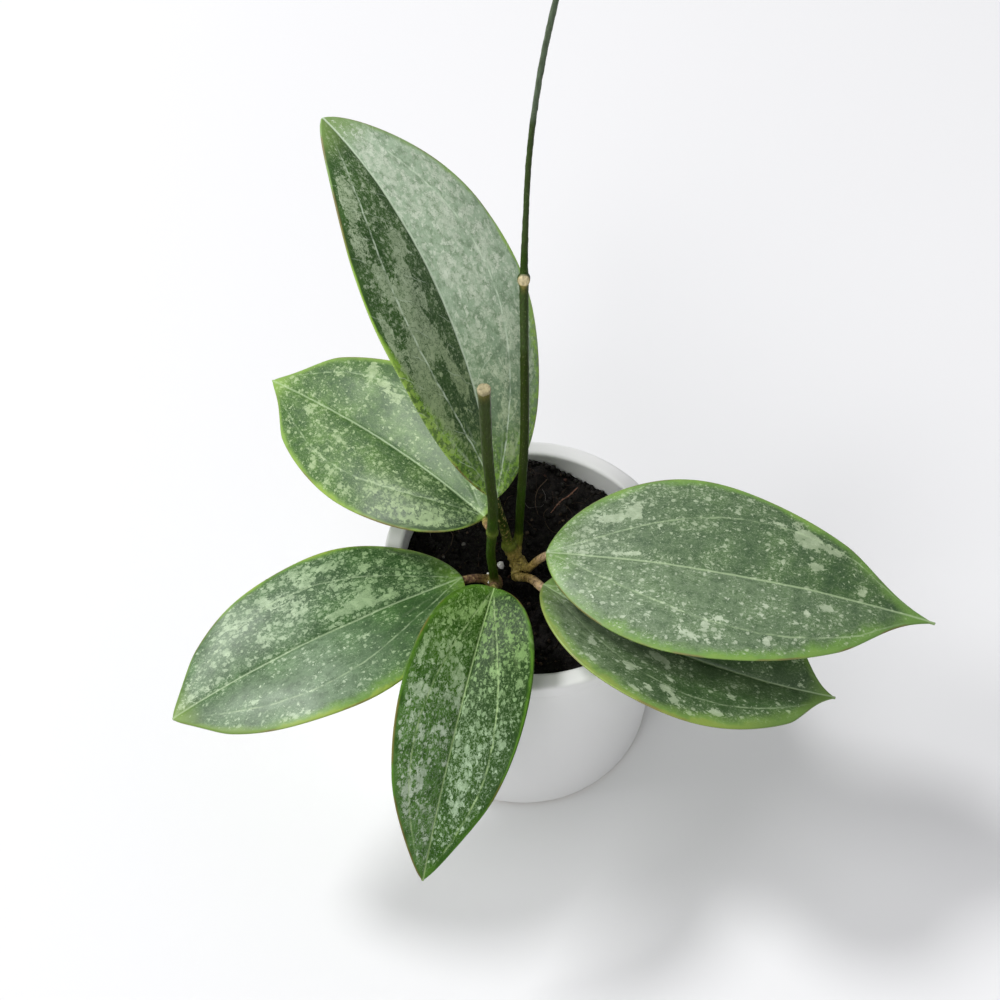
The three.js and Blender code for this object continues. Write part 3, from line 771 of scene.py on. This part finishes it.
def soil_radius(height=SOIL_LEVEL):
    share = (height - FLOOR_THICKNESS) / (POT_HEIGHT - LIP_ROUND - FLOOR_THICKNESS)
    return INNER_FLOOR_RADIUS + share * (RIM_RADIUS - LIP_WIDTH - INNER_FLOOR_RADIUS) - WALL_GAP


def peat():
    """Near-black peat with paler grit."""
    skin = Shading("peat_mix")
    place = skin.coordinates()
    coarse = skin.noise(place, 420, 4, 0.7)
    fine = skin.noise(place, 1900, 3, 0.7)
    colour = skin.mix(coarse.step(0.35, 0.68), "#060504", "#171310")
    return skin.surface(
        colour=skin.mix(fine.step(0.58, 0.72), colour, "#40372f"),
        rough=coarse.step(0.3, 0.7, 0.85, 0.6),
        shine=0.2,
        relief=(fine, 0.8, 0.0004),
    )


def make_soil():
    bottom = FLOOR_THICKNESS + SEAT_GAP
    around = circle(SOIL_SIDES)
    rings = [[(soil_radius(bottom) * x, soil_radius(bottom) * y, bottom) for x, y in around]]
    for ring in range(SOIL_RINGS, 0, -1):
        radius = soil_radius() * ring / SOIL_RINGS
        rings.append([on_soil(radius * x, radius * y) for x, y in around])
    body = closed_body(rings, (0, 0, bottom), on_soil(0, 0))
    settle(mesh_piece("potting_soil", *body, [peat()]), "soil")


# Litter on the soil

def pebble(centre, radius, seed, rings=5, sides=7):
    """A small irregular lump."""
    vertices, faces = ball((0, 0, 0), radius, radius, rings, sides)
    bent = []
    for place in vertices:
        swell = 1 + CRUMB_ROUGHNESS * noise.noise(place / radius * 1.1 + Vector((seed * 3.7, 0, 0)))
        bent.append(Vector(centre) + place * swell)
    return bent, faces


def litter_skin():
    """Grainy litter in its own tint, darkened by dirt as the tint's alpha says."""
    skin = Shading("soil_litter")
    tint = skin.attribute("tint", "Color")
    grain = skin.noise(skin.coordinates(), 1500, 3, 0.65)
    dirt = grain.step(0.35, 0.7, 0, 0.6) * tint.other("Alpha")
    return skin.surface(
        colour=skin.mix(dirt, tint, LITTER_DIRT),
        rough=grain.step(0.3, 0.7, 0.6, 0.9),
        shine=0.25,
        relief=(grain, 0.5, 0.0002),
    )


def tinted_piece(name, parts, skin):
    """One object from (vertices, faces, tint name) parts."""
    vertices, faces = gather([part[:2] for part in parts])
    piece = mesh_piece(name, vertices, faces, [skin])
    rows = []
    for some_vertices, _, tint in parts:
        dirt = CLEAN_SHARE if tint == "milk" else 1
        rows += [linear(TINTS[tint])[:3] + (dirt,)] * len(some_vertices)
    write_rows(piece, "tint", rows)
    settle(piece)


def make_crumbs(skin):
    """Crumbs of peat and bark, thicker towards the wall, and a row of them up against it."""
    chance = random.Random(11)
    parts = []
    for index in range(CRUMBS):
        turn = chance.uniform(0, 2 * math.pi)
        out = soil_radius() * chance.random() ** CRUMB_SPREAD
        radius = chance.uniform(*CRUMB_RADII)
        out = min(out, soil_radius() - radius * 1.3)
        tint = chance.choices(tuple(CRUMB_TINTS), CRUMB_TINTS.values())[0]
        if tint != "peat":
            radius *= BARK_BIT_SHARE
        centre = on_soil(*polar(out, turn), radius * chance.uniform(-0.1, 0.45))
        parts.append((*pebble(centre, radius, index), tint))
    for index in range(WALL_CRUMBS):
        turn = 2 * math.pi * (index + chance.random()) / WALL_CRUMBS
        radius = chance.uniform(*WALL_CRUMB_RADII)
        out = soil_radius() - radius * 1.35
        centre = on_soil(*polar(out, turn), radius * chance.uniform(0, 0.9))
        parts.append((*pebble(centre, radius, CRUMBS + index), "peat"))
    tinted_piece("peat_crumbs", parts, skin)


def make_fibres(skin):
    """Thin coir and root fibres that lie over the soil."""
    chance = random.Random(23)
    parts = []
    for _ in range(FIBRES):
        turn = chance.uniform(0, 2 * math.pi)
        out = min(soil_radius() * chance.random() ** FIBRE_SPREAD, soil_radius() - 1)
        x, y = polar(out, turn)
        course = chance.uniform(0, 2 * math.pi)
        bend_rate = chance.uniform(-0.5, 0.5)
        radius = FIBRE_RADIUS * chance.uniform(0.6, 1.3)
        stations = []
        for _ in range(chance.randint(4, 7)):
            if math.hypot(x, y) > soil_radius() - 0.6:
                break
            stations.append([*on_soil(x, y, chance.uniform(0.1, 1.1)), radius])
            course += bend_rate + chance.uniform(-0.3, 0.3)
            ahead, aside = polar(FIBRE_STEP, course)
            x, y = x + ahead, y + aside
        if len(stations) > 2:
            tint = chance.choices(tuple(FIBRE_TINTS), FIBRE_TINTS.values())[0]
            parts.append((*tube(stations, 2, 5), tint))
    for places, tint in SEEN_FIBRES:
        stations = [[*on_soil(x, y, above), radius] for x, y, above, radius in places]
        parts.append((*tube(stations, 5, 6), tint))
    tinted_piece("coir_fibres", parts, skin)


def make_bits(skin):
    """The white bit at the crown, drops of dried latex, and a few paler bits."""
    parts = [(*pebble(centre, radius, index, 9, 12), tint)
             for index, (centre, radius, tint) in enumerate(SEEN_BITS)]
    tinted_piece("soil_bits", parts, skin)


# Stems

def fuse(name, parts, material):
    """One skin over overlapping parts, by voxels, then smoothed."""
    rough = mesh_piece(name + "_parts", *gather(parts))
    remesh = rough.modifiers.new("skin", "REMESH")
    remesh.mode = "VOXEL"
    remesh.voxel_size = STEM_VOXEL * MM
    soften = rough.modifiers.new("soften", "SMOOTH")
    soften.factor = 0.5
    soften.iterations = 3
    bpy.context.view_layer.update()
    shown = rough.evaluated_get(bpy.context.evaluated_depsgraph_get())
    mesh = bpy.data.meshes.new_from_object(shown)
    bpy.data.objects.remove(rough)
    mesh.name = name
    dress(mesh, [material])
    return link(bpy.data.objects.new(name, mesh))


def tint_by_nearest(piece, samples):
    """Colours each vertex from the three nearest of (place, tint name) samples, woody near the soil."""
    tree = kdtree.KDTree(len(samples))
    for index, (place, _) in enumerate(samples):
        tree.insert(place, index)
    tree.balance()
    colours = [np.array(linear(TINTS[tint])) for _, tint in samples]
    rows = []
    for place in read_rows(piece, "co") / MM:
        total, weight = np.zeros(4), 0
        for _, index, distance in tree.find_n(Vector(place), 3):
            share = 1 / (distance + 0.2) ** 3
            total += share * colours[index]
            weight += share
        row = total / weight
        row[3] = 1 - smoothstep(*WOODY_TINT_SPAN, place[2])
        rows.append(row)
    write_rows(piece, "tint", rows)


def roughen(piece):
    """Wrinkles the skin along its normals: more where it is woody, near the crown."""
    places = read_rows(piece, "co") / MM
    moves = []
    for place, normal in zip(places, read_rows(piece, "normal")):
        wood = WOODY_RELIEF * (1 - smoothstep(*WOODY_RELIEF_SPAN, place[2]))
        knobs = noise.noise(Vector(place) * 0.8) + 0.6 * noise.noise(Vector(place) * 1.9)
        ridges = RIDGE_RELIEF * noise_at(*(place * (1.6, 1.6, 0.35)))
        moves.append(normal * (knobs * wood + ridges - SKIN_SHRINK))
    piece.data.vertices.foreach_set("co", ((places + moves) * MM).ravel())
    piece.data.update()


def bark():
    """Green stem skin that turns woody where the tint's alpha says so."""
    skin = Shading("green_bark")
    place = skin.coordinates()
    streaks = skin.noise(skin.vector("MULTIPLY", place, (1, 1, 0.22)), 1500, 3, 0.6)
    freckles = skin.noise(place, 2600)
    flakes = skin.noise(place, 900, 4, 0.7)
    tint = skin.attribute("tint", "Color")
    wood = tint.other("Alpha")
    return skin.surface(
        colour=skin.layers(
            tint,
            (streaks.step(0.3, 0.75, 0, 0.5), BARK_STREAK),
            (freckles.step(0.62, 0.72, 0, 0.5), skin.mix(0.4, tint, BARK_FRECKLE)),
            # Woody flakes: dark in the hollows of the flake relief and pale on its raised tops, partly real
            # bark colour and partly painted shade and painted highlight.
            (wood * flakes.step(0.5, 0.4, 0, 0.65), "#1c130b"),
            (wood * flakes.step(0.55, 0.62, 0, 0.7), "#c4ac74"),
        ),
        rough=streaks.step(0.3, 0.7, 0.36, 0.5),
        shine=0.14,
        relief=(streaks * 0.5 + wood * flakes, 0.5, 0.0003),
    )


def make_stem(name, node, hole, tubes, knobs, leaf_names, tints, skin):
    """A cutting: its rooted shaft, vines, knobs and the stumps of its petioles, as one body."""
    x, y, radius = hole
    shaft = [[x, y, SOIL_LEVEL - HOLE_DEPTH, radius], [x, y, SHAFT_TOP, radius]]
    parts = [tube(stations) for stations in [shaft, *tubes]]
    parts += [ball(knob[:3], knob[3], knob[4]) for knob in knobs]
    samples = [(place[:3], "bark") for place in shaft]
    for stations in tubes:
        samples += [(place, stations[round(at)][4]) for place, _, at in curve(stations, 4)]
    samples += [(knob[:3], knob[5]) for knob in knobs]
    for leaf in (LEAVES[leaf_name] for leaf_name in leaf_names):
        radius = leaf["radius"]
        stump = [[*leaf["socket"], radius + STUMP_FLARE], [*leaf["joint"], radius + STUMP_LIP]]
        parts.append(tube(stump, 3))
        samples.append((leaf["joint"], leaf["petiole_tints"][0]))
    piece = fuse(name, parts, skin)
    tint_by_nearest(piece, samples + tints)
    roughen(piece)
    settle(piece, node)


def make_stems():
    skin = bark()
    make_stem("right_cutting", "stem_right", RIGHT_HOLE, [RIGHT_CROWN, TALL_VINE, LEAF_SCAR], RIGHT_KNOBS,
              ["leaf_back", "leaf_right_upper", "leaf_right_lower"], SCAR_TINTS, skin)
    make_stem("left_cutting", "stem_left", LEFT_HOLE, [LEFT_CROWN, CUT_VINE], LEFT_KNOBS,
              ["leaf_left_front", "leaf_front", "leaf_left_back"], CUT_TINTS, skin)


# The form of a blade. Halves are "left" and "right".

def outline_share(leaf, share, half):
    """Half the blade's width at a share of its length, as a share of its widest."""
    near = np.clip((share - leaf["tip_start"]) / (1 - leaf["tip_start"]), 0, 1)
    pinch = 1 - leaf["narrowing"] * near * near * (3 - 2 * near)
    widest = leaf["bottom"] / (leaf["bottom"] + leaf["top"])
    skew = 1 + leaf["skew_" + half] * (share - 0.5)
    peak = widest ** leaf["bottom"] * (1 - widest) ** leaf["top"]
    return share ** leaf["bottom"] * (1 - share) ** leaf["top"] * pinch * skew / peak


def midrib_compass(leaf, share):
    return np.radians(leaf["heading"] + leaf["sway"] * share)


def midrib_direction(leaf, share):
    slope = np.radians(leaf["rise"] + leaf["droop"] * share + leaf["hook"] * share ** 3)
    compass = midrib_compass(leaf, share)
    return np.stack([np.cos(slope) * np.cos(compass), np.cos(slope) * np.sin(compass), np.sin(slope)], -1)


def midrib_frames(leaf, shares):
    """Where the midrib is at each share, and which way is right and up on the blade there."""
    grid = np.linspace(0, 1, MIDRIB_STEPS + 1)
    steps = midrib_direction(leaf, (grid[1:] + grid[:-1]) / 2) * leaf["length"] / MIDRIB_STEPS
    walked = np.concatenate([np.zeros((1, 3)), np.cumsum(steps, 0)]) + np.array(leaf["base"], float)
    place = np.stack([np.interp(shares, grid, walked[:, axis]) for axis in range(3)], -1)
    compass = midrib_compass(leaf, shares)
    level = np.stack([np.sin(compass), -np.cos(compass), 0 * compass], -1)
    lift = np.cross(level, midrib_direction(leaf, shares))
    roll = np.radians(leaf["roll"] + leaf["twist"] * shares)[:, None]
    return place, np.cos(roll) * level + np.sin(roll) * lift, np.cos(roll) * lift - np.sin(roll) * level


def row_shares(leaf):
    """Shares of the blade's length, closer together at its base and tip."""
    even = np.linspace(0, 1, round(leaf["length"] / ROW_SPACING) + 1)
    return even - 0.5 * np.sin(2 * math.pi * even) / (2 * math.pi)


def blade_columns():
    """Each column of half a blade as (share of the flat part, angle around the rounded margin)."""
    steps = [step / HALF_COLUMNS for step in range(HALF_COLUMNS + 1)]
    flat = [(step * (0.55 + 0.45 * step), 0) for step in steps]
    turns = [math.pi / 2 * (step + 1) / ROUNDING_COLUMNS for step in range(ROUNDING_COLUMNS)]
    return flat + [(1, turn) for turn in turns]


def patch_weight(patches, along, across):
    """How much of a silver patch covers each place, from 0 to 1."""
    best = np.zeros_like(along)
    for x, y, half_length, half_breadth, *rest in patches:
        weight = rest[0] if rest else 1
        angle = math.radians(rest[1]) if len(rest) > 1 else 0
        u = (along - x) * math.cos(angle) + (across - y) * math.sin(angle)
        v = (across - y) * math.cos(angle) - (along - x) * math.sin(angle)
        soft = PATCH_SOFTNESS / min(half_length, half_breadth)
        reach = np.hypot(u / half_length, v / half_breadth)
        best = np.maximum(best, weight * (1 - smoothstep(1 - soft, 1 + 1.3 * soft, reach)))
    return best


def quilting(along, across, seed):
    """A gentle unevenness of the blade."""
    return np.array([noise_at(x * 0.07, y * 0.09, seed * 7.3) for x, y in zip(along, across)])


def ridge(distance, height, half_breadth):
    return height * np.exp(-(distance / half_breadth) ** 2)


def blade_half(name, half):
    """Both faces of one half of a blade: columns out from the midrib and round the margin."""
    leaf = LEAVES[name]
    side = -1 if half == "left" else 1
    shares = row_shares(leaf)
    along = leaf["length"] * shares
    place, right, up = midrib_frames(leaf, shares)
    outline = outline_share(leaf, shares, half)
    width = np.maximum(leaf[half] * outline, SMALLEST_HALF_WIDTH)
    rounding = np.minimum(EDGE_THICKNESS / 2, 0.6 * width)
    fold, curl = math.radians(leaf["fold"]), math.radians(leaf["curl"])
    vein = SIDE_VEIN_REACH * leaf[half] * np.sin(math.pi * shares ** SIDE_VEIN_POWER)
    vein = np.minimum(vein, 0.8 * width)
    swing = 2 * math.pi * leaf["waves"] * shares + leaf["phase"] + (LEFT_WAVE_SHIFT if side < 0 else 0)
    fade = np.clip(4 * (1 - shares), 0, 1) * np.clip(12 * shares, 0, 1)
    # The half's pale tone: a real pale haze with painted sheen above zero, painted shade below zero.
    pale_sheen_shade = np.interp(shares, (0, 0.5, 1), leaf["wash_" + half])
    specks = np.interp(shares, (0, 0.5, 1), leaf["specks_" + half])
    lime = np.interp(shares, (0.1, 0.5, 0.9), leaf["lime_" + half])
    none = 0 * along
    columns = []
    for flat, turn in blade_columns():
        # The middle of the blade's thickness, and its normal.
        out = flat * (width - rounding) + rounding * math.sin(turn)
        reach = out / width
        lean = fold - curl * reach
        sideways = side * width * (math.sin(fold) - np.sin(lean)) / curl
        wave = MARGIN_WAVE * reach ** 3 * outline * np.sin(swing)
        raised = width * (np.cos(lean) - math.cos(fold)) / curl + wave
        middle = place + sideways[:, None] * right + raised[:, None] * up
        tilt = lean * np.clip(out / FOLD_FILLET, 0, 1)
        normal = np.cos(tilt)[:, None] * up - side * np.sin(tilt)[:, None] * right

        # Its two faces.
        thick = (BLADE_THICKNESS + (EDGE_THICKNESS - BLADE_THICKNESS) * reach ** 2) / 2
        thick = np.minimum(thick, np.where(turn > 0, rounding, thick)) * math.cos(turn)
        across, away = side * out, out - vein
        groove = ridge(out, *MIDRIB_GROOVE) + ridge(away, *VEIN_GROOVE)
        rib = ridge(out, *MIDRIB_RIB) * (1 - shares) + ridge(away, *VEIN_RIB)
        uneven = QUILTING * quilting(along, across, leaf["seed"])
        inner = fade * (1 - reach ** 4) * math.cos(turn)
        patch = patch_weight(PATCHES[name], along, across)
        columns.append(dict(
            top=middle + normal * (thick + (uneven - groove) * inner)[:, None],
            bottom=middle - normal * (thick - (uneven - rib) * inner)[:, None],
            flat=np.stack([along, across, none], -1),
            form=np.stack([shares, width - out, away], -1),
            marks=np.stack([patch, pale_sheen_shade, specks], -1),
            rim=np.stack([(width - out) / lime, none, none], -1),
        ))
    return columns


def blade_mesh(name):
    """The whole blade as one closed skin, with its material slots and attributes."""
    around = blade_half(name, "left")[:0:-1] + blade_half(name, "right")
    ring = [("top", column) for column in around] + [("bottom", column) for column in around[-2:0:-1]]
    rows, count = len(around[0]["top"]), len(ring)
    vertices = np.stack([column[face] for face, column in ring], 1).reshape(-1, 3)
    attributes = {
        key: np.stack([column[key] for _, column in ring], 1).reshape(-1, 3)
        for key in ("flat", "form", "marks", "rim")
    }
    faces = ring_faces(rows, count) + end_faces(len(vertices), count)
    top_columns = len(around) - 1
    slots = ([0] * top_columns + [1] * (count - top_columns)) * (rows - 1) + [0, 0]
    return vertices, faces, slots, attributes


def petiole_stations(leaf):
    """The petiole from inside its stump to the end of its keel under the blade."""
    joint = Vector(leaf["joint"])
    direction = (joint - Vector(leaf["socket"])).normalized()
    radius = leaf["radius"]

    def under(share, down, thickness):
        place, _, up = midrib_frames(leaf, np.array([share]))
        return [*(place[0] - up[0] * down), thickness]

    return [
        [*(joint - direction * 0.4), radius],
        [*(joint + direction * 1.3), radius],
        *[[*place, radius * 0.95] for place in leaf["petiole"]],
        under(0.005, radius * 0.8, radius),
        under(KEEL_SHARE / 3, radius * 0.65, radius * 0.65),
        under(KEEL_SHARE, BLADE_THICKNESS / 2 * 0.7, radius * 0.25),
    ]


# The looks of a blade

def silver_cover(skin, place, clouds, patch, specks, edge, leaf):
    """Where the silver lies: ragged islands, specks of three sizes, and thin threads around them."""
    push = skin.vector("SUBTRACT", skin.noise(place, 0.8, 2, 0.6).other("Color"), (0.5, 0.5, 0.5))
    ragged = skin.vector("ADD", place, skin.vector("MULTIPLY", push, (1.6, 1.6, 0)))
    grain = skin.noise(ragged, 0.55, 4, 0.7)
    inland = edge.step(0.3, 2.2)
    density = (specks + clouds.step(0.3, 0.7, -0.25, 0.25) + patch * 0.35) * inland
    cover = (grain + patch ** 2.5 * leaf["fill"] + (density - 0.5) * 0.12 + leaf["islands"]) * inland
    silver = cover.step(0.64, 0.685)
    for scale, size, strength in SPECK_SIZES:
        distance, chance = skin.cells(ragged, scale)
        radius = (density - (chance + 0.1)).at_least(0) ** 0.55 * size
        silver = silver.at_least((radius - distance).step(0.0, 0.1, 0, strength))
    thread = abs(skin.noise(place, 0.95) - 0.52).step(0.045, 0.01, 0, 0.45 * leaf["threads"])
    silver = silver.at_least(thread * density)
    crack = abs(skin.noise(place, 0.6, 3, 0.7) - 0.49).step(0.006, 0.03, 1 - leaf["cracks"], 1)
    fading = skin.noise(place, 0.3, 3, 0.6).step(0.3, 0.7, 0.7, 1)
    return silver * crack * fading, grain


def vein_cover(skin, flat, share, away, own, leaf):
    """Where the veins show: midrib, side veins, faint rungs between them, and rays near the base."""
    along, across, _ = flat.parts()
    shake = (skin.noise(own, 0.22) - 0.5) * 0.9
    broken = skin.noise(own, 0.35).step(0.38, 0.58, 0.25, 1)
    midrib = abs(across + shake * 0.4).step(0.5, 0.15, 0, 0.85)
    side = abs(away + shake).step(0.4, 0.1, 0, 0.75) * (broken * share.step(0.97, 0.8))
    slant = (along - abs(across) * 0.85) * 0.105 + shake * 0.35
    patchy = skin.noise(own, 0.13, 1).step(0.46, 0.6, 0, leaf["rungs"])
    rung = abs(skin.math("FRACT", slant) - 0.5).step(0.03, 0.008) * patchy
    heading = skin.math("ARCTAN2", across, along) + shake * 0.05
    ray = abs(skin.math("FRACT", heading * 3.6 + 0.5) - 0.5).step(0.1, 0.03)
    near_base = along.step(3, 7) * along.step(30, 14, 0, 0.22)
    ray = ray * (near_base * broken)
    return midrib.at_least(ray).at_least(side.at_least(rung)) * leaf["veins"]


def leaf_skin(name):
    """The upper skin of a blade, drawn from the attributes that blade_half stores."""
    leaf = LEAVES[name]
    skin = Shading(name + "_skin")
    flat = skin.attribute("flat")
    share, edge, away = skin.attribute("form").parts()
    patch, pale_sheen_shade, specks = skin.attribute("marks").parts()
    own = skin.vector("ADD", flat, (113.0 * leaf["seed"], 57.0 * leaf["seed"], 0))
    drawn = skin.vector("MULTIPLY", own, (0.75, 1, 1))

    # Ground: deep green, paler in clouds, with a pale haze and painted sheen where the half's pale tone is
    # above zero, and painted shade, the deep green darkened, where it is below zero.
    clouds = skin.noise(own, 0.11)
    mottle = skin.noise(drawn, 0.45, 3, 0.6)
    ground = skin.layers(
        leaf["deep"],
        (clouds.step(0.35, 0.7, 0, 0.5) + mottle.step(0.3, 0.75, 0, 0.4), leaf["pale"]),
        # Painted sheen as a pale haze above zero; painted shade, the deep green darkened, below zero.
        (pale_sheen_shade * mottle.step(0.36, 0.58, leaf["haze_sheen_low"], 1), leaf["haze_sheen"]),
        (pale_sheen_shade * -1, skin.mix(0.45, leaf["deep"], "#000000")),
    )

    # Lime at the base, the tip and the margin, with a wandering inner edge.
    wander = (skin.noise(own, 0.07, 4, 0.65) - 0.5) * 6
    inward = skin.attribute("rim").parts()[0] + wander * 0.35
    rim = inward.step(1.05, 0.1, 0, 0.8)
    base = (share + wander * 0.02).step(leaf["lime_base"], 0.0, 0, 0.75)
    tip = (share + wander * 0.01).step(0.89, 0.99, 0, 0.85)
    gaps = skin.noise(drawn, 0.7, 3, 0.65).step(0.47, 0.53, 0, leaf["lime_gaps"])
    lime = (rim.at_least(base) * (1 - gaps * share.step(0.5, 0.3))).at_least(tip)
    lime_colour = skin.layers(leaf["lime_hue"], (inward.step(0.4, 0.05), leaf["rim_hue"]),
                              (share.step(0.6, 0.85), leaf["tip_hue"]))

    # Silver, greener over the lime and in its grain, paler under the painted sheen, and greener under the
    # painted shade.
    silver, grain = silver_cover(skin, drawn, clouds, patch, specks, edge, leaf)
    silver_colour = skin.layers(
        leaf["base_silver"],
        (share.step(0.1, 0.6), leaf["silver"]),
        (lime, skin.mix(0.5, lime_colour, "#d4e8ac")),
        # Silver whitened by painted sheen, and greened by painted shade.
        (pale_sheen_shade * 0.8, "#e8f0e0"),
        (pale_sheen_shade * -0.45, leaf["pale"]),
        (grain.step(0.4, 0.75, 0.25, 0), leaf["pale"]),
    )

    # Veins, a thin reddish line along parts of the margin, and a wax a little rougher over the silver.
    veins = vein_cover(skin, flat, share, away, own, leaf)
    flush = edge.step(0.7, 0.2) * skin.noise(own, 0.07).step(0.48, 0.6)
    pores = skin.noise(own, 4.5)
    return skin.surface(
        colour=skin.layers(
            ground, (lime, lime_colour), (silver * 0.9, silver_colour), (veins, leaf["vein_hue"]),
            (flush * 0.5, "#7d4a36"),
        ),
        rough=silver.step(0, 1, 0.38, 0.44) + pores * 0.06,
        shine=leaf["gloss"],
        relief=(pores * 0.12 + grain * 0.5 - veins * 0.35, 0.25, 0.0003),
    )


def underside_skin():
    """The pale underside with its veins and a brownish margin."""
    skin = Shading("leaf_underside")
    flat = skin.attribute("flat")
    _, edge, away = skin.attribute("form").parts()
    clouds = skin.noise(flat, 0.14, 4, 0.6)
    veins = abs(flat.parts()[1]).step(0.9, 0.3).at_least(abs(away).step(0.5, 0.1, 0, 0.6))
    return skin.surface(
        colour=skin.layers("#5d7a3c", (clouds, "#7f9a58"), (veins, "#9db36c"),
                           (edge.step(0.9, 0.3, 0, 0.5), "#8a7442")),
        rough=clouds.step(0.3, 0.7, 0.5, 0.62),
        relief=(skin.noise(flat, 2.2, 3, 0.6), 0.3, 0.0003),
    )


def make_leaf(name, underside, petiole_skin):
    """A blade and its petiole as one piece. The petiole's tint runs along it and on under the blade."""
    leaf = LEAVES[name]
    blade, faces, slots, attributes = blade_mesh(name)
    stations = petiole_stations(leaf)
    stalk = tube(stations, PETIOLE_STEPS, PETIOLE_SIDES)
    slots += [2] * len(stalk[1])
    vertices, faces = gather([(list(blade), faces), stalk])
    piece = mesh_piece("hoya_" + name, vertices, faces, [leaf_skin(name), underside, petiole_skin], slots)
    for key, rows in attributes.items():
        write_rows(piece, key, np.concatenate([rows, np.zeros((len(stalk[0]), 3))]))
    tints = [np.array(linear(TINTS[tint])) for tint in leaf["petiole_tints"]]
    rows = [np.zeros(4)] * len(blade)
    blade_start = len(stations) - 3
    for _, _, at in curve(stations, PETIOLE_STEPS):
        place = 2 * min(at / blade_start, 1) ** PETIOLE_TINT_POWER
        low = min(int(place), 1)
        rows += [tints[low] * (1 - place + low) + tints[low + 1] * (place - low)] * PETIOLE_SIDES
    write_rows(piece, "tint", rows)
    settle(piece, name)


def make_leaves():
    underside = underside_skin()
    petiole_skin = bark()
    for name in LEAF_NAMES:
        make_leaf(name, underside, petiole_skin)


bpy.context.scene.view_settings.view_transform = "Standard"
make_camera()
make_light()
make_floor()
make_pot()
make_soil()
litter = litter_skin()
make_crumbs(litter)
make_fibres(litter)
make_bits(litter)
make_stems()
make_leaves()
